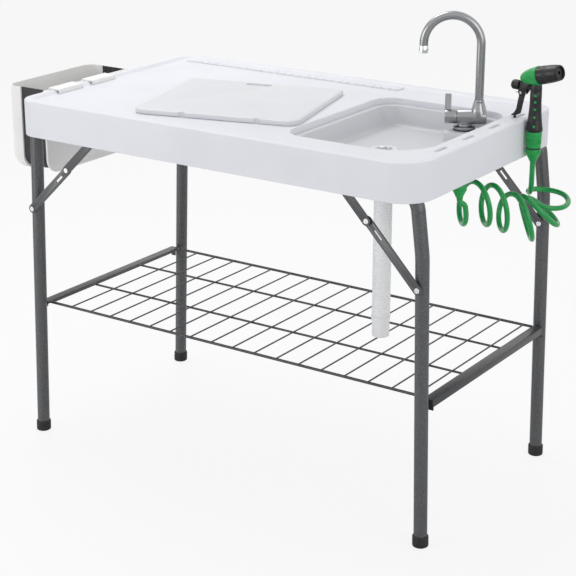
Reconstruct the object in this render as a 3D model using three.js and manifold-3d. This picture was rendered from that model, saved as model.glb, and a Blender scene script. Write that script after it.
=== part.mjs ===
// Fish cleaning table: a moulded top with a sink on folding steel legs, with a lift-off wire shelf, a tap, a drain hose,
// a spray gun on a curly hose, a loose cutting board and a folding bin. Millimetres, X along the table, Z up.
import * as THREE from "three";
import { mergeVertices } from "three/addons/utils/BufferGeometryUtils.js";
import Module from "manifold-3d";

const wasm = await Module();
wasm.setup();

// Clearances, overruns and the fineness of round shapes
const SEAT_GAP = 0.3;
const RUN_GAP = 0.4;
const CUT_OVERRUN = 5;
const WELD_DEPTH = 1;
const LEAST_RADIUS = 0.4;
const MERGE_DISTANCE = 0.001;
const ROUND_SIDES = 22;
const SMALL_SIDES = 10;
const CORNER_STEPS = 5;
const BEND_STEPS = 5;

// Moulded top
const TOP_LENGTH = 1146;
const TOP_DEPTH = 698;
const RIM_HEIGHT = 914;
const SKIRT_DROP = 90;
const SKIRT_WALL = 3;
const LEFT_CORNER = 54;
const RIGHT_CORNER = 76;
const RIM_ROUND = 4;
const RIM_WIDTH = 23;
const RIM_RIGHT_WIDTH = 60;
const RIM_SLOPE = 6;
const DECK_DROP = 7;
const DECK_THICKNESS = 8;
const DECK_CORNER = 40;

// Tool slots in the right rim
const SLOT_INSET = 32;
const SLOT_X = TOP_LENGTH / 2 - SLOT_INSET;
const SLOT_FRONT_SPACE = 162;
const SLOT_REAR_SPACE = 155;
const SLOT_FIRST_Y = SLOT_FRONT_SPACE - TOP_DEPTH / 2;
const SLOT_COUNT = 4;
const SLOT_LAST_Y = TOP_DEPTH / 2 - SLOT_REAR_SPACE;
const SLOT_PITCH = (SLOT_LAST_Y - SLOT_FIRST_Y) / (SLOT_COUNT - 1);
const SLOT_LENGTH = 50;
const SLOT_WIDTH = 11;

// Ruler along the back of the deck
const RULER_LEFT_SPACE = 48;
const RULER_LEFT = RULER_LEFT_SPACE - TOP_LENGTH / 2;
const RULER_RIGHT_SPACE = 423;
const RULER_RIGHT = TOP_LENGTH / 2 - RULER_RIGHT_SPACE;
const RULER_WIDTH = 34;
const RULER_RISE = 4;
const TICK_PITCH = 25;
const TICK_WIDTH = 2;
const TICK_LENGTH = 9;
const TICK_DEPTH = 1;

// Sink opening, ledge and basin
const SINK_LENGTH = 355;
const SINK_RIGHT_SPACE = 68;
const SINK_FRONT_SPACE = 109;
const SINK_REAR_SPACE = 123;
const SINK_RIGHT = TOP_LENGTH / 2 - SINK_RIGHT_SPACE;
const SINK_LEFT = SINK_RIGHT - SINK_LENGTH;
const SINK_FRONT = SINK_FRONT_SPACE - TOP_DEPTH / 2;
const SINK_REAR = TOP_DEPTH / 2 - SINK_REAR_SPACE;
const SINK_CORNER = 60;
const SINK_WIDE_CORNER = 120;
const CURB_WALL = 4;
const LEDGE_DROP = 19;
const LEDGE_WIDTH = 14;
const LEDGE_THICKNESS = 3;
const FLANGE_THICKNESS = 3;
const BASIN_WALL = 4;
const BASIN_TAPER = 8;
const BASIN_FOOT = 14;
const BASIN_FLOOR_DROP = 72;
const BASIN_FLOOR_Z = RIM_HEIGHT - BASIN_FLOOR_DROP;
const BASIN_FLOOR_THICKNESS = 5;
const PLATFORM_LENGTH = 132;
const PLATFORM_LEFT = SINK_RIGHT - PLATFORM_LENGTH;
const PLATFORM_WIDTH = 111;
const PLATFORM_FRONT = SINK_REAR - PLATFORM_WIDTH;
const PLATFORM_RISE = 26;

// Leg frames, each one bent tube: front leg, pivot bar under the top, rear leg
const TUBE_RADIUS = 16;
const TUBE_SIDES = 12;
const TUBE_BEND = 32;
const LEG_INSET = 49;
const LEG_Y = TOP_DEPTH / 2 - LEG_INSET;
const PIVOT_DROP = 46;
const PIVOT_Z = RIM_HEIGHT - PIVOT_DROP;
const LEFT_PIVOT_INSET = 22.3;
const LEFT_PIVOT_X = LEFT_PIVOT_INSET - TOP_LENGTH / 2;
const RIGHT_PIVOT_INSET = 61;
const RIGHT_PIVOT_X = TOP_LENGTH / 2 - RIGHT_PIVOT_INSET;
const FOOT_SPREAD = 9;
const FOOT_X = TOP_LENGTH / 2 + FOOT_SPREAD;
const RIGHT_KNEE_INSET = 7;
const RIGHT_KNEE_X = TOP_LENGTH / 2 - RIGHT_KNEE_INSET;
const RIGHT_KNEE_DROP = 214;
const RIGHT_KNEE_Z = RIM_HEIGHT - RIGHT_KNEE_DROP;
const RIGHT_KNEE_BEND = 260;
const RIGHT_SHOULDER_INSET = 22;
const RIGHT_SHOULDER_X = TOP_LENGTH / 2 - RIGHT_SHOULDER_INSET;
const RIGHT_SHOULDER_DROP = 99;
const RIGHT_SHOULDER_Z = RIM_HEIGHT - RIGHT_SHOULDER_DROP;
const RIGHT_SHOULDER_BEND = 50;

// Foot caps
const CAP_RADIUS = 19;
const CAP_HEIGHT = 27;
const CAP_SOLE = 6;
const CAP_ROUND = 2;

// Pivot blocks that carry the pivot bars
const BLOCK_LEG_SPACE = 50;
const BLOCK_Y = LEG_Y - BLOCK_LEG_SPACE;
const BLOCK_LENGTH = 30;
const BLOCK_WALL = 1.9;

// Locking braces
const LINK_WIDTH = 22;
const LINK_THICKNESS = 3;
const LINK_GAP = 2.5;
const LINK_STANDOFF = 4.5;
const PIN_RADIUS = 4;
const RIVET_HEAD_RADIUS = 6.5;
const RIVET_HEAD_HEIGHT = 1.5;
const LOCK_SLOT_LENGTH = 26;
const LOCK_SLOT_WIDTH = 6;
const LOCK_SLOT_PLACE = 40;
const LEFT_BRACE_ARM = 242.1;
const RIGHT_BRACE_DROP = 239;
const RIGHT_BRACE_Z = PIVOT_Z - RIGHT_BRACE_DROP;
const RIGHT_ANCHOR_SPACE = 170;
const RIGHT_ANCHOR_X = RIGHT_PIVOT_X - RIGHT_ANCHOR_SPACE;
const RIGHT_UPPER_LINK = 139.6;
const ANCHOR_WIDTH = 24;
const ANCHOR_THICKNESS = 3;
const ANCHOR_FOOT = 14;
const ANCHOR_COLLAR_RADIUS = 7;

// Lift-off wire shelf on studs
const SHELF_Z = 360;
const STUD_RADIUS = 4.5;
const STUD_LENGTH = 9;
const HOOK_THICKNESS = 3;
const HOOK_JAW = 5;
const HOOK_LIP = 14;
const HOOK_DROP = 26;
const HOOK_LEG_GAP = 5;
const BAR_FLANGE = 26;
const BAR_WEB = 18;
const BAR_THICKNESS = 2.5;
const RAIL_RADIUS = 3.5;
const RAIL_INSET = 4;
const WIRE_RADIUS = 2;
const WIRE_SIDES = 6;
const WIRE_COUNT = 18;
const WIRE_FIRST_INSET = 23;
const WIRE_FIRST_X = WIRE_FIRST_INSET - TOP_LENGTH / 2;
const WIRE_END_SPACES = 51.2;
const WIRE_PITCH = (TOP_LENGTH - WIRE_END_SPACES) / (WIRE_COUNT - 1);
const MID_RAIL_YS = [-100, 95];
const MID_RAIL_RADIUS = 2.8;

// Cutting board
const BOARD_LENGTH = 420;
const BOARD_WIDTH = 372;
const BOARD_THICKNESS = 13;
const BOARD_X = -99;
const BOARD_Y = -49;
const BOARD_TURN = THREE.MathUtils.degToRad(14.5);
const BOARD_CORNER = 16;
const BOARD_EDGE = 2.5;
const HANDLE_SLOT_LENGTH = 70;
const HANDLE_SLOT_WIDTH = 18;
const HANDLE_SLOT_X = -12;
const HANDLE_SLOT_EDGE = 26;
const NOTCH_XS = [-80, 111];
const NOTCH_WIDTH = 16;
const NOTCH_DEPTH = 4;

// Tap, turned so that its spout points over the sink
const TAP_SINK_SPACE_X = 65;
const TAP_X = SINK_RIGHT - TAP_SINK_SPACE_X;
const TAP_SINK_SPACE_Y = 46;
const TAP_Y = SINK_REAR - TAP_SINK_SPACE_Y;
const TAP_TURN = THREE.MathUtils.degToRad(206.57);
const TAP_BASE_REACH = 33.5;
const TAP_BASE_RADIUS = 27;
const TAP_BASE_HEIGHT = 6;
const TAP_GASKET_HEIGHT = 3;
const TAP_COLUMN_RADIUS = 17;
const TAP_BODY_RADIUS = 17.5;
const TAP_BODY_DROP = 14;
const TAP_BODY_Z = RIM_HEIGHT - TAP_BODY_DROP;
const TAP_BODY_BACK = 19;
const TAP_SEAM_REACH = 52;
const TAP_BODY_END = 81;
const TAP_SOCKET_RADIUS = 18;
const TAP_SOCKET_TOP_RADIUS = 12.5;
const TAP_SOCKET_HEIGHT = 20;
const TAP_SOCKET_Z = TAP_BODY_Z + TAP_SOCKET_HEIGHT;
const TAP_SHOULDER_HEIGHT = 17;
const TAP_SOCKET_TOP_Z = TAP_SOCKET_Z + TAP_SHOULDER_HEIGHT;
const SPOUT_RADIUS = 10.3;
const SPOUT_REACH = 136;
const SPOUT_HEIGHT = 217;
const SPOUT_TOP_Z = TAP_SOCKET_TOP_Z + SPOUT_HEIGHT;
const SPOUT_DROP = 83;
const SPOUT_TIP_Z = SPOUT_TOP_Z - SPOUT_DROP;
const SPOUT_COLLAR_HEIGHT = 5;
const SPOUT_COLLAR_GROWTH = 1.7;
const SPOUT_STEPS = 18;
const AERATOR_HEIGHT = 18;
const AERATOR_RADIUS = 11;
const AERATOR_BORE = 8;
const LEVER_WIDTH = 15;
const LEVER_THICKNESS = 5;
const LEVER_HEIGHT = 55;
const LEVER_TOP_Z = TAP_BODY_Z + LEVER_HEIGHT;
const SHANK_RADIUS = 11;
const SHANK_LENGTH = 34;
const TAP_NUT_RADIUS = 20;
const TAP_NUT_HEIGHT = 8;
const NUT_SIDES = 6;

// Drain and its ribbed hose
const DRAIN_SINK_SPACE = 206;
const DRAIN_X = SINK_RIGHT - DRAIN_SINK_SPACE;
const DRAIN_Y = -23;
const DRAIN_FLANGE_RADIUS = 34;
const DRAIN_FLANGE_HEIGHT = 3;
const DRAIN_BODY_RADIUS = 24;
const DRAIN_WALL = 3;
const DRAIN_BODY_DROP = 36;
const DRAIN_BODY_BOTTOM_Z = BASIN_FLOOR_Z - DRAIN_BODY_DROP;
const DRAIN_TAIL_OVERLAP = 24;
const DRAIN_NUT_RADIUS = 32;
const DRAIN_NUT_HEIGHT = 9;
const BASKET_HEIGHT = 12;
const BASKET_WALL = 2;
const BASKET_KNOB_RADIUS = 4;
const BASKET_KNOB_HEIGHT = 9;
const BASKET_HOLE_RADIUS = 3;
const BASKET_HOLE_RING_SHARE = 0.6;
const BASKET_HOLES = 6;
const HOSE_TOP_SPACE = 7;
const HOSE_TOP_Z = DRAIN_BODY_BOTTOM_Z - HOSE_TOP_SPACE;
const HOSE_CREST_RADIUS = 22.5;
const HOSE_ROOT_RADIUS = 20.9;
const HOSE_BORE_RADIUS = 19.2;
const HOSE_RIBS = 46;
const HOSE_SIDES = 8;
const RIBS_PER_BORE_RING = 5;
const CUFF_SHELF_SPACE = 12;
const CUFF_LENGTH = 53;
const CUFF_BOTTOM_Z = SHELF_Z + CUFF_SHELF_SPACE;
const CUFF_TOP_Z = CUFF_BOTTOM_Z + CUFF_LENGTH;
const CUFF_RADIUS = 21.5;
const CUFF_RING_RADIUS = 23.2;
const CUFF_RING_HEIGHT = 4;
const CUFF_RING_GAP = 3;
const CUFF_BORE = 18.6;

// Water spigot under the right rim, and the connector on it
const SPIGOT_INSET = 26;
const SPIGOT_X = TOP_LENGTH / 2 - SPIGOT_INSET;
const SPIGOT_FRONT_SPACE = 244;
const SPIGOT_Y = SPIGOT_FRONT_SPACE - TOP_DEPTH / 2;
const SPIGOT_FLANGE_RADIUS = 17;
const SPIGOT_FLANGE_HEIGHT = 4;
const SPIGOT_RADIUS = 9;
const CONNECTOR_DROP = 98;
const CONNECTOR_TOP_Z = RIM_HEIGHT - CONNECTOR_DROP;
const CONNECTOR_HEIGHT = 30;
const CONNECTOR_BOTTOM_Z = CONNECTOR_TOP_Z - CONNECTOR_HEIGHT;
const CONNECTOR_RADIUS = 16;
const CONNECTOR_NECK_RADIUS = 9;
const CONNECTOR_WALL = 2;
const CONNECTOR_SOCKET = 12;

// Curly hose from the connector to the spray gun
const CURLY_RADIUS = 6.25;
const CURLY_SIDES = 6;
const CURLY_LOOP_RADIUS = 49;
const CURLY_TURNS = 5.75;
const CURLY_STEPS_PER_TURN = 24;
const CURLY_START_LENGTH = 3;
const CURLY_SWAY_RADIUS = 13;
const CURLY_SWAY_TURN = THREE.MathUtils.degToRad(65);
const CURLY_SWAY_STEPS = 3;
const CURLY_END_BEND = 40;
const CURLY_END_LENGTH = 45;
const CURLY_LEAST_GAP = 0.4;
const CURLY_START_TURN = THREE.MathUtils.degToRad(52);
const CURLY_END_TURN = THREE.MathUtils.degToRad(34);
const CURLY_LEAN_START_SHARE = 0.49;
const CURLY_LEAN_END_SHARE = 0.93;
const CURLY_CENTRES = [
  { share: 0.3693, outward: 15, drop: 37.7 },
  { share: 0.5667, outward: 31, drop: 62.7 },
  { share: 0.7203, outward: 82, drop: 88.7 },
  { share: 0.8154, outward: 83, drop: 75.7 },
  { share: 0.9324, outward: 92, drop: 79.7 },
];

// Spray gun, hung by its rear lever in the last tool slot
const GUN_RIM_SPACE = 21;
const GUN_X = TOP_LENGTH / 2 + GUN_RIM_SPACE;
const GUN_SLOT_OFFSET = 25.5;
const GUN_Y = SLOT_LAST_Y - GUN_SLOT_OFFSET;
const GUN_TURN = THREE.MathUtils.degToRad(-10);
const GUN_CONNECTOR_DROP = 99;
const GUN_CONNECTOR_BOTTOM_Z = RIM_HEIGHT - GUN_CONNECTOR_DROP;
const GUN_CONNECTOR_HEIGHT = 31.5;
const GUN_CONNECTOR_TOP_Z = GUN_CONNECTOR_BOTTOM_Z + GUN_CONNECTOR_HEIGHT;
const GUN_CONNECTOR_RADIUS = 17.5;
const GUN_CONNECTOR_NECK_RADIUS = 7.6;
const GUN_CONNECTOR_CONE = 20;
const GUN_RING_HEIGHT = 2.8;
const GUN_RING_RADIUS = 17;
const GUN_COLLAR_HEIGHT = 39;
const GUN_COLLAR_RADIUS = 18.7;
const GUN_HANDLE_FLARE_RADIUS = 20;
const GUN_HANDLE_WAIST_RADIUS = 13.8;
const GUN_HANDLE_HEIGHT = 95;
const GUN_NECK_RADIUS = 11.5;
const GUN_AXIS_X = 9;
const GUN_AXIS_HEIGHT = 109;
const GUN_AXIS_Z = RIM_HEIGHT + GUN_AXIS_HEIGHT;
const GUN_AXIS_RISE = THREE.MathUtils.degToRad(15);
const GUN_BODY_LENGTH = 52;
const GUN_BODY_RADIUS = 22.5;
const GUN_BODY_TAIL_RADIUS = 10;
const NOZZLE_LENGTH = 58;
const NOZZLE_RADIUS = 21.5;
const NOZZLE_TIP_RADIUS = 18;
const NOZZLE_LIP = 4;
const NOZZLE_OUTLET_RADIUS = 4;
const KNOB_RADIUS = 11;
const KNOB_LENGTH = 21;
const KNOB_X = -67;
const KNOB_DROP = 31;
const KNOB_Z = GUN_AXIS_Z - KNOB_DROP;
const KNOB_STEM_RADIUS = 7;
const KNOB_STEM_LENGTH = 24;
const KNOB_BEVEL = 2;
const LUG_SPACE = 14;
const LUG_THICKNESS = 2.5;
const LUG_RADIUS = 8;
const TRIGGER_PIN_X = -38;
const TRIGGER_PIN_DROP = 47;
const TRIGGER_PIN_Z = GUN_AXIS_Z - TRIGGER_PIN_DROP;
const TRIGGER_PIN_RADIUS = 3.2;
const TRIGGER_PIN_END = 1;
const TRIGGER_THICKNESS = 7;
const TRIGGER_WIDTH = 13;
const CLIP_THICKNESS = 3;
const CLIP_REACH = 22;
const CLIP_HEIGHT = 6;
const TOE_LIFT = 4;
const TOE_LENGTH = 26;
const TOE_THICKNESS = 7;
const TONGUE_WIDTH = 2.5;
const TONGUE_DEPTH = 5;
const TONGUE_REACH = 57.9;

// Folding bin, hooked over the left rim
const BIN_DEPTH = 136;
const BIN_LENGTH = 330;
const BIN_LEG_SPACE = 60;
const BIN_HEIGHT = 219;
const BIN_FRONT = BIN_LEG_SPACE - LEG_Y;
const BIN_REAR = BIN_FRONT + BIN_LENGTH;
const BIN_TOP_Z = RIM_HEIGHT;
const BIN_BOTTOM_Z = BIN_TOP_Z - BIN_HEIGHT;
const BIN_WALL = 3.5;
const BIN_GAP = 4;
const BIN_CORNER = 34;
const BIN_EDGE = 38;
const BIN_EDGE_STEPS = 4;
const BIN_SHELL_DEPTH = 52;
const BIN_BACK_DEPTH = 6;
const BIN_HOOK_OFFSETS = [20, 148];
const BIN_HOOK_WIDTH = 92;
const BIN_HOOK_THICKNESS = 4;
const BIN_HOOK_LIP = 3;

// Heights and planes that follow from these
const skirtBottom = RIM_HEIGHT - SKIRT_DROP;
const deckTop = RIM_HEIGHT - DECK_DROP;
const deckUnder = deckTop - DECK_THICKNESS;
const ledgeTop = deckTop - LEDGE_DROP;
const ledgeUnder = ledgeTop - LEDGE_THICKNESS;
const topLeft = -TOP_LENGTH / 2;
const topRight = TOP_LENGTH / 2;
const topFront = -TOP_DEPTH / 2;
const topRear = TOP_DEPTH / 2;
const platformTop = BASIN_FLOOR_Z + PLATFORM_RISE;

// Finishes
const finish = (color, roughness, metalness = 0) => new THREE.MeshStandardMaterial({ color, roughness, metalness });
const WHITE_PLASTIC = finish(0xe8e9ee, 0.55);
const BOARD_PLASTIC = finish(0xe4e5ea, 0.5);
const HAMMERED_STEEL = finish(0x606163, 0.45, 0.5);
const DARK_STEEL = finish(0x363637, 0.45, 0.6);
const ZINC_STEEL = finish(0x8c8e90, 0.4, 0.8);
const BRUSHED_STEEL = finish(0xb9bbbd, 0.28, 1);
const CHROME = finish(0xd5d7d9, 0.12, 1);
const BLACK_RUBBER = finish(0x1c1c1e, 0.8);
const BLACK_PLASTIC = finish(0x2b2b2d, 0.5);
const GREEN_PLASTIC = finish(0x28964b, 0.35);
const GREEN_HOSE = finish(0x1f8c45, 0.3);
const GREY_HOSE = finish(0xe6e7ea, 0.5);
const BEIGE_PLASTIC = finish(0xefeeea, 0.5);

// Geometry helpers: solids from geometries, joins and cuts

function solidOf(geometry) {
  const bare = geometry.clone();
  bare.deleteAttribute("normal");
  bare.deleteAttribute("uv");
  const merged = mergeVertices(bare, MERGE_DISTANCE);
  const corners = [];
  const index = merged.index.array;
  for (let i = 0; i < index.length; i += 3) {
    const [a, b, c] = [index[i], index[i + 1], index[i + 2]];
    if (a !== b && b !== c && c !== a) corners.push(a, b, c);
  }
  const vertProperties = new Float32Array(merged.attributes.position.array);
  return new wasm.Manifold(new wasm.Mesh({ numProp: 3, vertProperties, triVerts: new Uint32Array(corners) }));
}

function geometryOf(solid) {
  const mesh = solid.getMesh();
  const geometry = new THREE.BufferGeometry();
  geometry.setAttribute("position", new THREE.BufferAttribute(new Float32Array(mesh.vertProperties), 3));
  geometry.setIndex(new THREE.BufferAttribute(new Uint32Array(mesh.triVerts), 1));
  geometry.computeVertexNormals();
  return geometry;
}

function joined(first, ...others) {
  return geometryOf(others.reduce((sum, geometry) => sum.add(solidOf(geometry)), solidOf(first)));
}

function cut(first, ...tools) {
  return geometryOf(tools.reduce((rest, tool) => rest.subtract(solidOf(tool)), solidOf(first)));
}

function kept(first, tool) {
  return geometryOf(solidOf(first).intersect(solidOf(tool)));
}

function block(x0, x1, y0, y1, z0, z1) {
  return new THREE.BoxGeometry(x1 - x0, y1 - y0, z1 - z0).translate((x0 + x1) / 2, (y0 + y1) / 2, (z0 + z1) / 2);
}

// An upright cylinder
function post(radius, low, high, x = 0, y = 0, sides = ROUND_SIDES) {
  const geometry = new THREE.CylinderGeometry(radius, radius, high - low, sides).rotateX(Math.PI / 2);
  return geometry.translate(x, y, (low + high) / 2);
}

// A cylinder along Y
function crosswise(radius, y0, y1, x, z, sides = SMALL_SIDES) {
  const start = Math.min(y0, y1);
  const end = Math.max(y0, y1);
  return new THREE.CylinderGeometry(radius, radius, end - start, sides).translate(x, (start + end) / 2, z);
}

// A cylinder along X
function lengthwise(radius, x0, x1, y, z, sides = SMALL_SIDES) {
  const geometry = new THREE.CylinderGeometry(radius, radius, x1 - x0, sides).rotateZ(Math.PI / 2);
  return geometry.translate((x0 + x1) / 2, y, z);
}

// A turned piece about Z, from [radius, height] pairs that run up its outside
function turned(profile, sides = ROUND_SIDES) {
  const points = profile.map(([radius, height]) => new THREE.Vector2(radius, height));
  return new THREE.LatheGeometry(points, sides).rotateX(Math.PI / 2);
}

// The radius of a many-sided hole that clears a round piece by a gap
function holeRadius(radius, gap, sides = ROUND_SIDES) {
  return (radius + gap) / Math.cos(Math.PI / sides);
}

// A flat outline in X and Z, given thickness along Y
function sidePlate(shape, y0, y1) {
  const geometry = new THREE.ExtrudeGeometry(shape, { depth: y1 - y0, bevelEnabled: false, curveSegments: SMALL_SIDES });
  return geometry.rotateX(Math.PI / 2).translate(0, y1, 0);
}

function polygon(points) {
  return new THREE.Shape(points.map(([x, z]) => new THREE.Vector2(x, z)));
}

// A rectangle with its own radius at each corner: front left, front right, rear right, rear left
function roundedRectangle(x0, x1, y0, y1, radii) {
  return (inset) => {
    const corners = [
      [x0, y0, 1, 1, Math.PI],
      [x1, y0, -1, 1, Math.PI * 1.5],
      [x1, y1, -1, -1, 0],
      [x0, y1, 1, -1, Math.PI / 2],
    ];
    return corners.flatMap(([x, y, sx, sy, start], corner) => {
      const radius = Math.max(radii[corner] - inset, LEAST_RADIUS);
      const cx = x + sx * (inset + radius);
      const cy = y + sy * (inset + radius);
      return Array.from({ length: CORNER_STEPS + 1 }, (_, step) => {
        const angle = start + ((Math.PI / 2) * step) / CORNER_STEPS;
        return [cx + radius * Math.cos(angle), cy + radius * Math.sin(angle)];
      });
    });
  };
}

// A solid through rings of one outline, from [inset, height] pairs that run upwards
function stacked(outline, levels) {
  const rings = levels.map(([inset, height]) => outline(inset).map(([x, y]) => [x, y, height]));
  const count = rings[0].length;
  const corners = [];
  for (let level = 0; level + 1 < rings.length; level += 1) {
    for (let i = 0; i < count; i += 1) {
      const a = level * count + i;
      const b = level * count + ((i + 1) % count);
      corners.push(a, b, b + count, a, b + count, a + count);
    }
  }
  const last = (rings.length - 1) * count;
  for (let i = 1; i + 1 < count; i += 1) corners.push(0, i + 1, i, last, last + i, last + i + 1);
  const geometry = new THREE.BufferGeometry();
  geometry.setAttribute("position", new THREE.Float32BufferAttribute(rings.flat(2), 3));
  geometry.setIndex(corners);
  return geometry;
}

// A path through exact points, for tubes whose bends are already rounded
class Route extends THREE.Curve {
  constructor(points) {
    super();
    this.points = points;
  }

  getPoint(share, target = new THREE.Vector3()) {
    const place = THREE.MathUtils.clamp(share, 0, 1) * (this.points.length - 1);
    const before = Math.min(Math.floor(place), this.points.length - 2);
    return target.lerpVectors(this.points[before], this.points[before + 1], place - before);
  }

  getPointAt(share, target) {
    return this.getPoint(share, target);
  }

  getTangentAt(share, target = new THREE.Vector3()) {
    const place = Math.round(share * (this.points.length - 1));
    const here = this.points[place];
    const after = this.points[Math.min(place + 1, this.points.length - 1)].clone().sub(here).normalize();
    const before = here.clone().sub(this.points[Math.max(place - 1, 0)]).normalize();
    return target.addVectors(before, after).normalize();
  }

  getTangent(share, target) {
    return this.getTangentAt(share, target);
  }
}

// Replaces the corners of a line of points by arcs of the given radii
function rounded(points, radii, steps = BEND_STEPS) {
  const out = [points[0].clone()];
  for (let i = 1; i + 1 < points.length; i += 1) {
    const back = points[i - 1].clone().sub(points[i]).normalize();
    const ahead = points[i + 1].clone().sub(points[i]).normalize();
    const half = back.angleTo(ahead) / 2;
    const radius = radii[i - 1];
    const toCentre = back.clone().add(ahead).normalize().multiplyScalar(radius / Math.sin(half));
    const centre = points[i].clone().add(toCentre);
    const start = points[i].clone().addScaledVector(back, radius / Math.tan(half)).sub(centre);
    const end = points[i].clone().addScaledVector(ahead, radius / Math.tan(half)).sub(centre);
    const axis = start.clone().cross(end).normalize();
    const sweep = start.angleTo(end);
    for (let step = 0; step <= steps; step += 1) {
      out.push(start.clone().applyAxisAngle(axis, (sweep * step) / steps).add(centre));
    }
  }
  out.push(points.at(-1).clone());
  return out;
}

// A round bar along a line of exact points
function bar(points, radius, sides) {
  const section = new THREE.Shape();
  for (let i = 0; i < sides; i += 1) {
    const angle = ((i + 1 / 2) * 2 * Math.PI) / sides;
    const corner = [radius * Math.cos(angle), radius * Math.sin(angle)];
    if (i === 0) section.moveTo(...corner);
    else section.lineTo(...corner);
  }
  section.closePath();
  return new THREE.ExtrudeGeometry(section, { steps: points.length - 1, extrudePath: new Route(points) });
}

function piece(name, geometry, material) {
  const mesh = new THREE.Mesh(geometry, material);
  mesh.name = name;
  return mesh;
}

function group(...members) {
  const holder = new THREE.Group();
  holder.add(...members);
  return holder;
}

// Top

const topOutline = roundedRectangle(topLeft, topRight, topFront, topRear, [
  LEFT_CORNER,
  RIGHT_CORNER,
  RIGHT_CORNER,
  LEFT_CORNER,
]);
const sinkOutline = roundedRectangle(SINK_LEFT, SINK_RIGHT, SINK_FRONT, SINK_REAR, [
  SINK_CORNER,
  SINK_WIDE_CORNER,
  SINK_CORNER,
  SINK_CORNER,
]);
const deckInset = RIM_WIDTH + RIM_SLOPE;

function tableTop() {
  const eased = RIM_ROUND * (1 - Math.SQRT1_2);
  const outside = stacked(topOutline, [
    [0, skirtBottom],
    [0, RIM_HEIGHT - RIM_ROUND],
    [eased, RIM_HEIGHT - eased],
    [RIM_ROUND, RIM_HEIGHT],
  ]);
  const underside = stacked(topOutline, [
    [SKIRT_WALL, skirtBottom - CUT_OVERRUN],
    [SKIRT_WALL, deckUnder],
  ]);
  const deckOutline = roundedRectangle(
    topLeft + RIM_WIDTH,
    topRight - RIM_RIGHT_WIDTH,
    topFront + RIM_WIDTH,
    topRear - RIM_WIDTH,
    [DECK_CORNER, DECK_CORNER, DECK_CORNER, DECK_CORNER],
  );
  const recess = stacked(deckOutline, [
    [RIM_SLOPE, deckTop],
    [0, RIM_HEIGHT],
    [0, RIM_HEIGHT + CUT_OVERRUN],
  ]);
  const rulerRear = topRear - deckInset;
  const ruler = block(
    RULER_LEFT,
    RULER_RIGHT,
    rulerRear - RULER_WIDTH,
    rulerRear + WELD_DEPTH,
    deckTop - WELD_DEPTH,
    deckTop + RULER_RISE,
  );
  const ticks = [];
  for (let x = RULER_LEFT + TICK_PITCH; x < RULER_RIGHT - TICK_WIDTH; x += TICK_PITCH) {
    const front = rulerRear - RULER_WIDTH;
    const floor = deckTop + RULER_RISE - TICK_DEPTH;
    ticks.push(block(x, x + TICK_WIDTH, front - CUT_OVERRUN, front + TICK_LENGTH, floor, floor + CUT_OVERRUN));
  }
  const curb = stacked(sinkOutline, [
    [-CURB_WALL, ledgeUnder],
    [-CURB_WALL, deckUnder + WELD_DEPTH],
  ]);
  const opening = stacked(sinkOutline, [
    [0, ledgeTop],
    [0, RIM_HEIGHT + CUT_OVERRUN],
  ]);
  const throat = stacked(sinkOutline, [
    [LEDGE_WIDTH, ledgeUnder - CUT_OVERRUN],
    [LEDGE_WIDTH, ledgeTop + CUT_OVERRUN],
  ]);
  const slots = Array.from({ length: SLOT_COUNT }, (_, i) => {
    const y = SLOT_FIRST_Y + i * SLOT_PITCH;
    const halfWidth = SLOT_WIDTH / 2;
    const halfLength = SLOT_LENGTH / 2;
    const outline = roundedRectangle(SLOT_X - halfWidth, SLOT_X + halfWidth, y - halfLength, y + halfLength, [
      halfWidth,
      halfWidth,
      halfWidth,
      halfWidth,
    ]);
    return stacked(outline, [
      [0, deckUnder - CUT_OVERRUN],
      [0, RIM_HEIGHT + CUT_OVERRUN],
    ]);
  });
  const shell = cut(outside, underside, recess);
  return cut(joined(shell, cut(ruler, ...ticks), curb), opening, throat, ...slots);
}

// Basin, hung in the sink opening by its flange, with a raised platform for the tap

const basinFlangeTop = ledgeTop + SEAT_GAP + FLANGE_THICKNESS;
const basinUnder = BASIN_FLOOR_Z - BASIN_FLOOR_THICKNESS;
const basinOuterInset = LEDGE_WIDTH + SEAT_GAP;
const tapBaseX = TAP_X + TAP_BASE_REACH * Math.cos(TAP_TURN);
const tapBaseY = TAP_Y + TAP_BASE_REACH * Math.sin(TAP_TURN);

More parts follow.
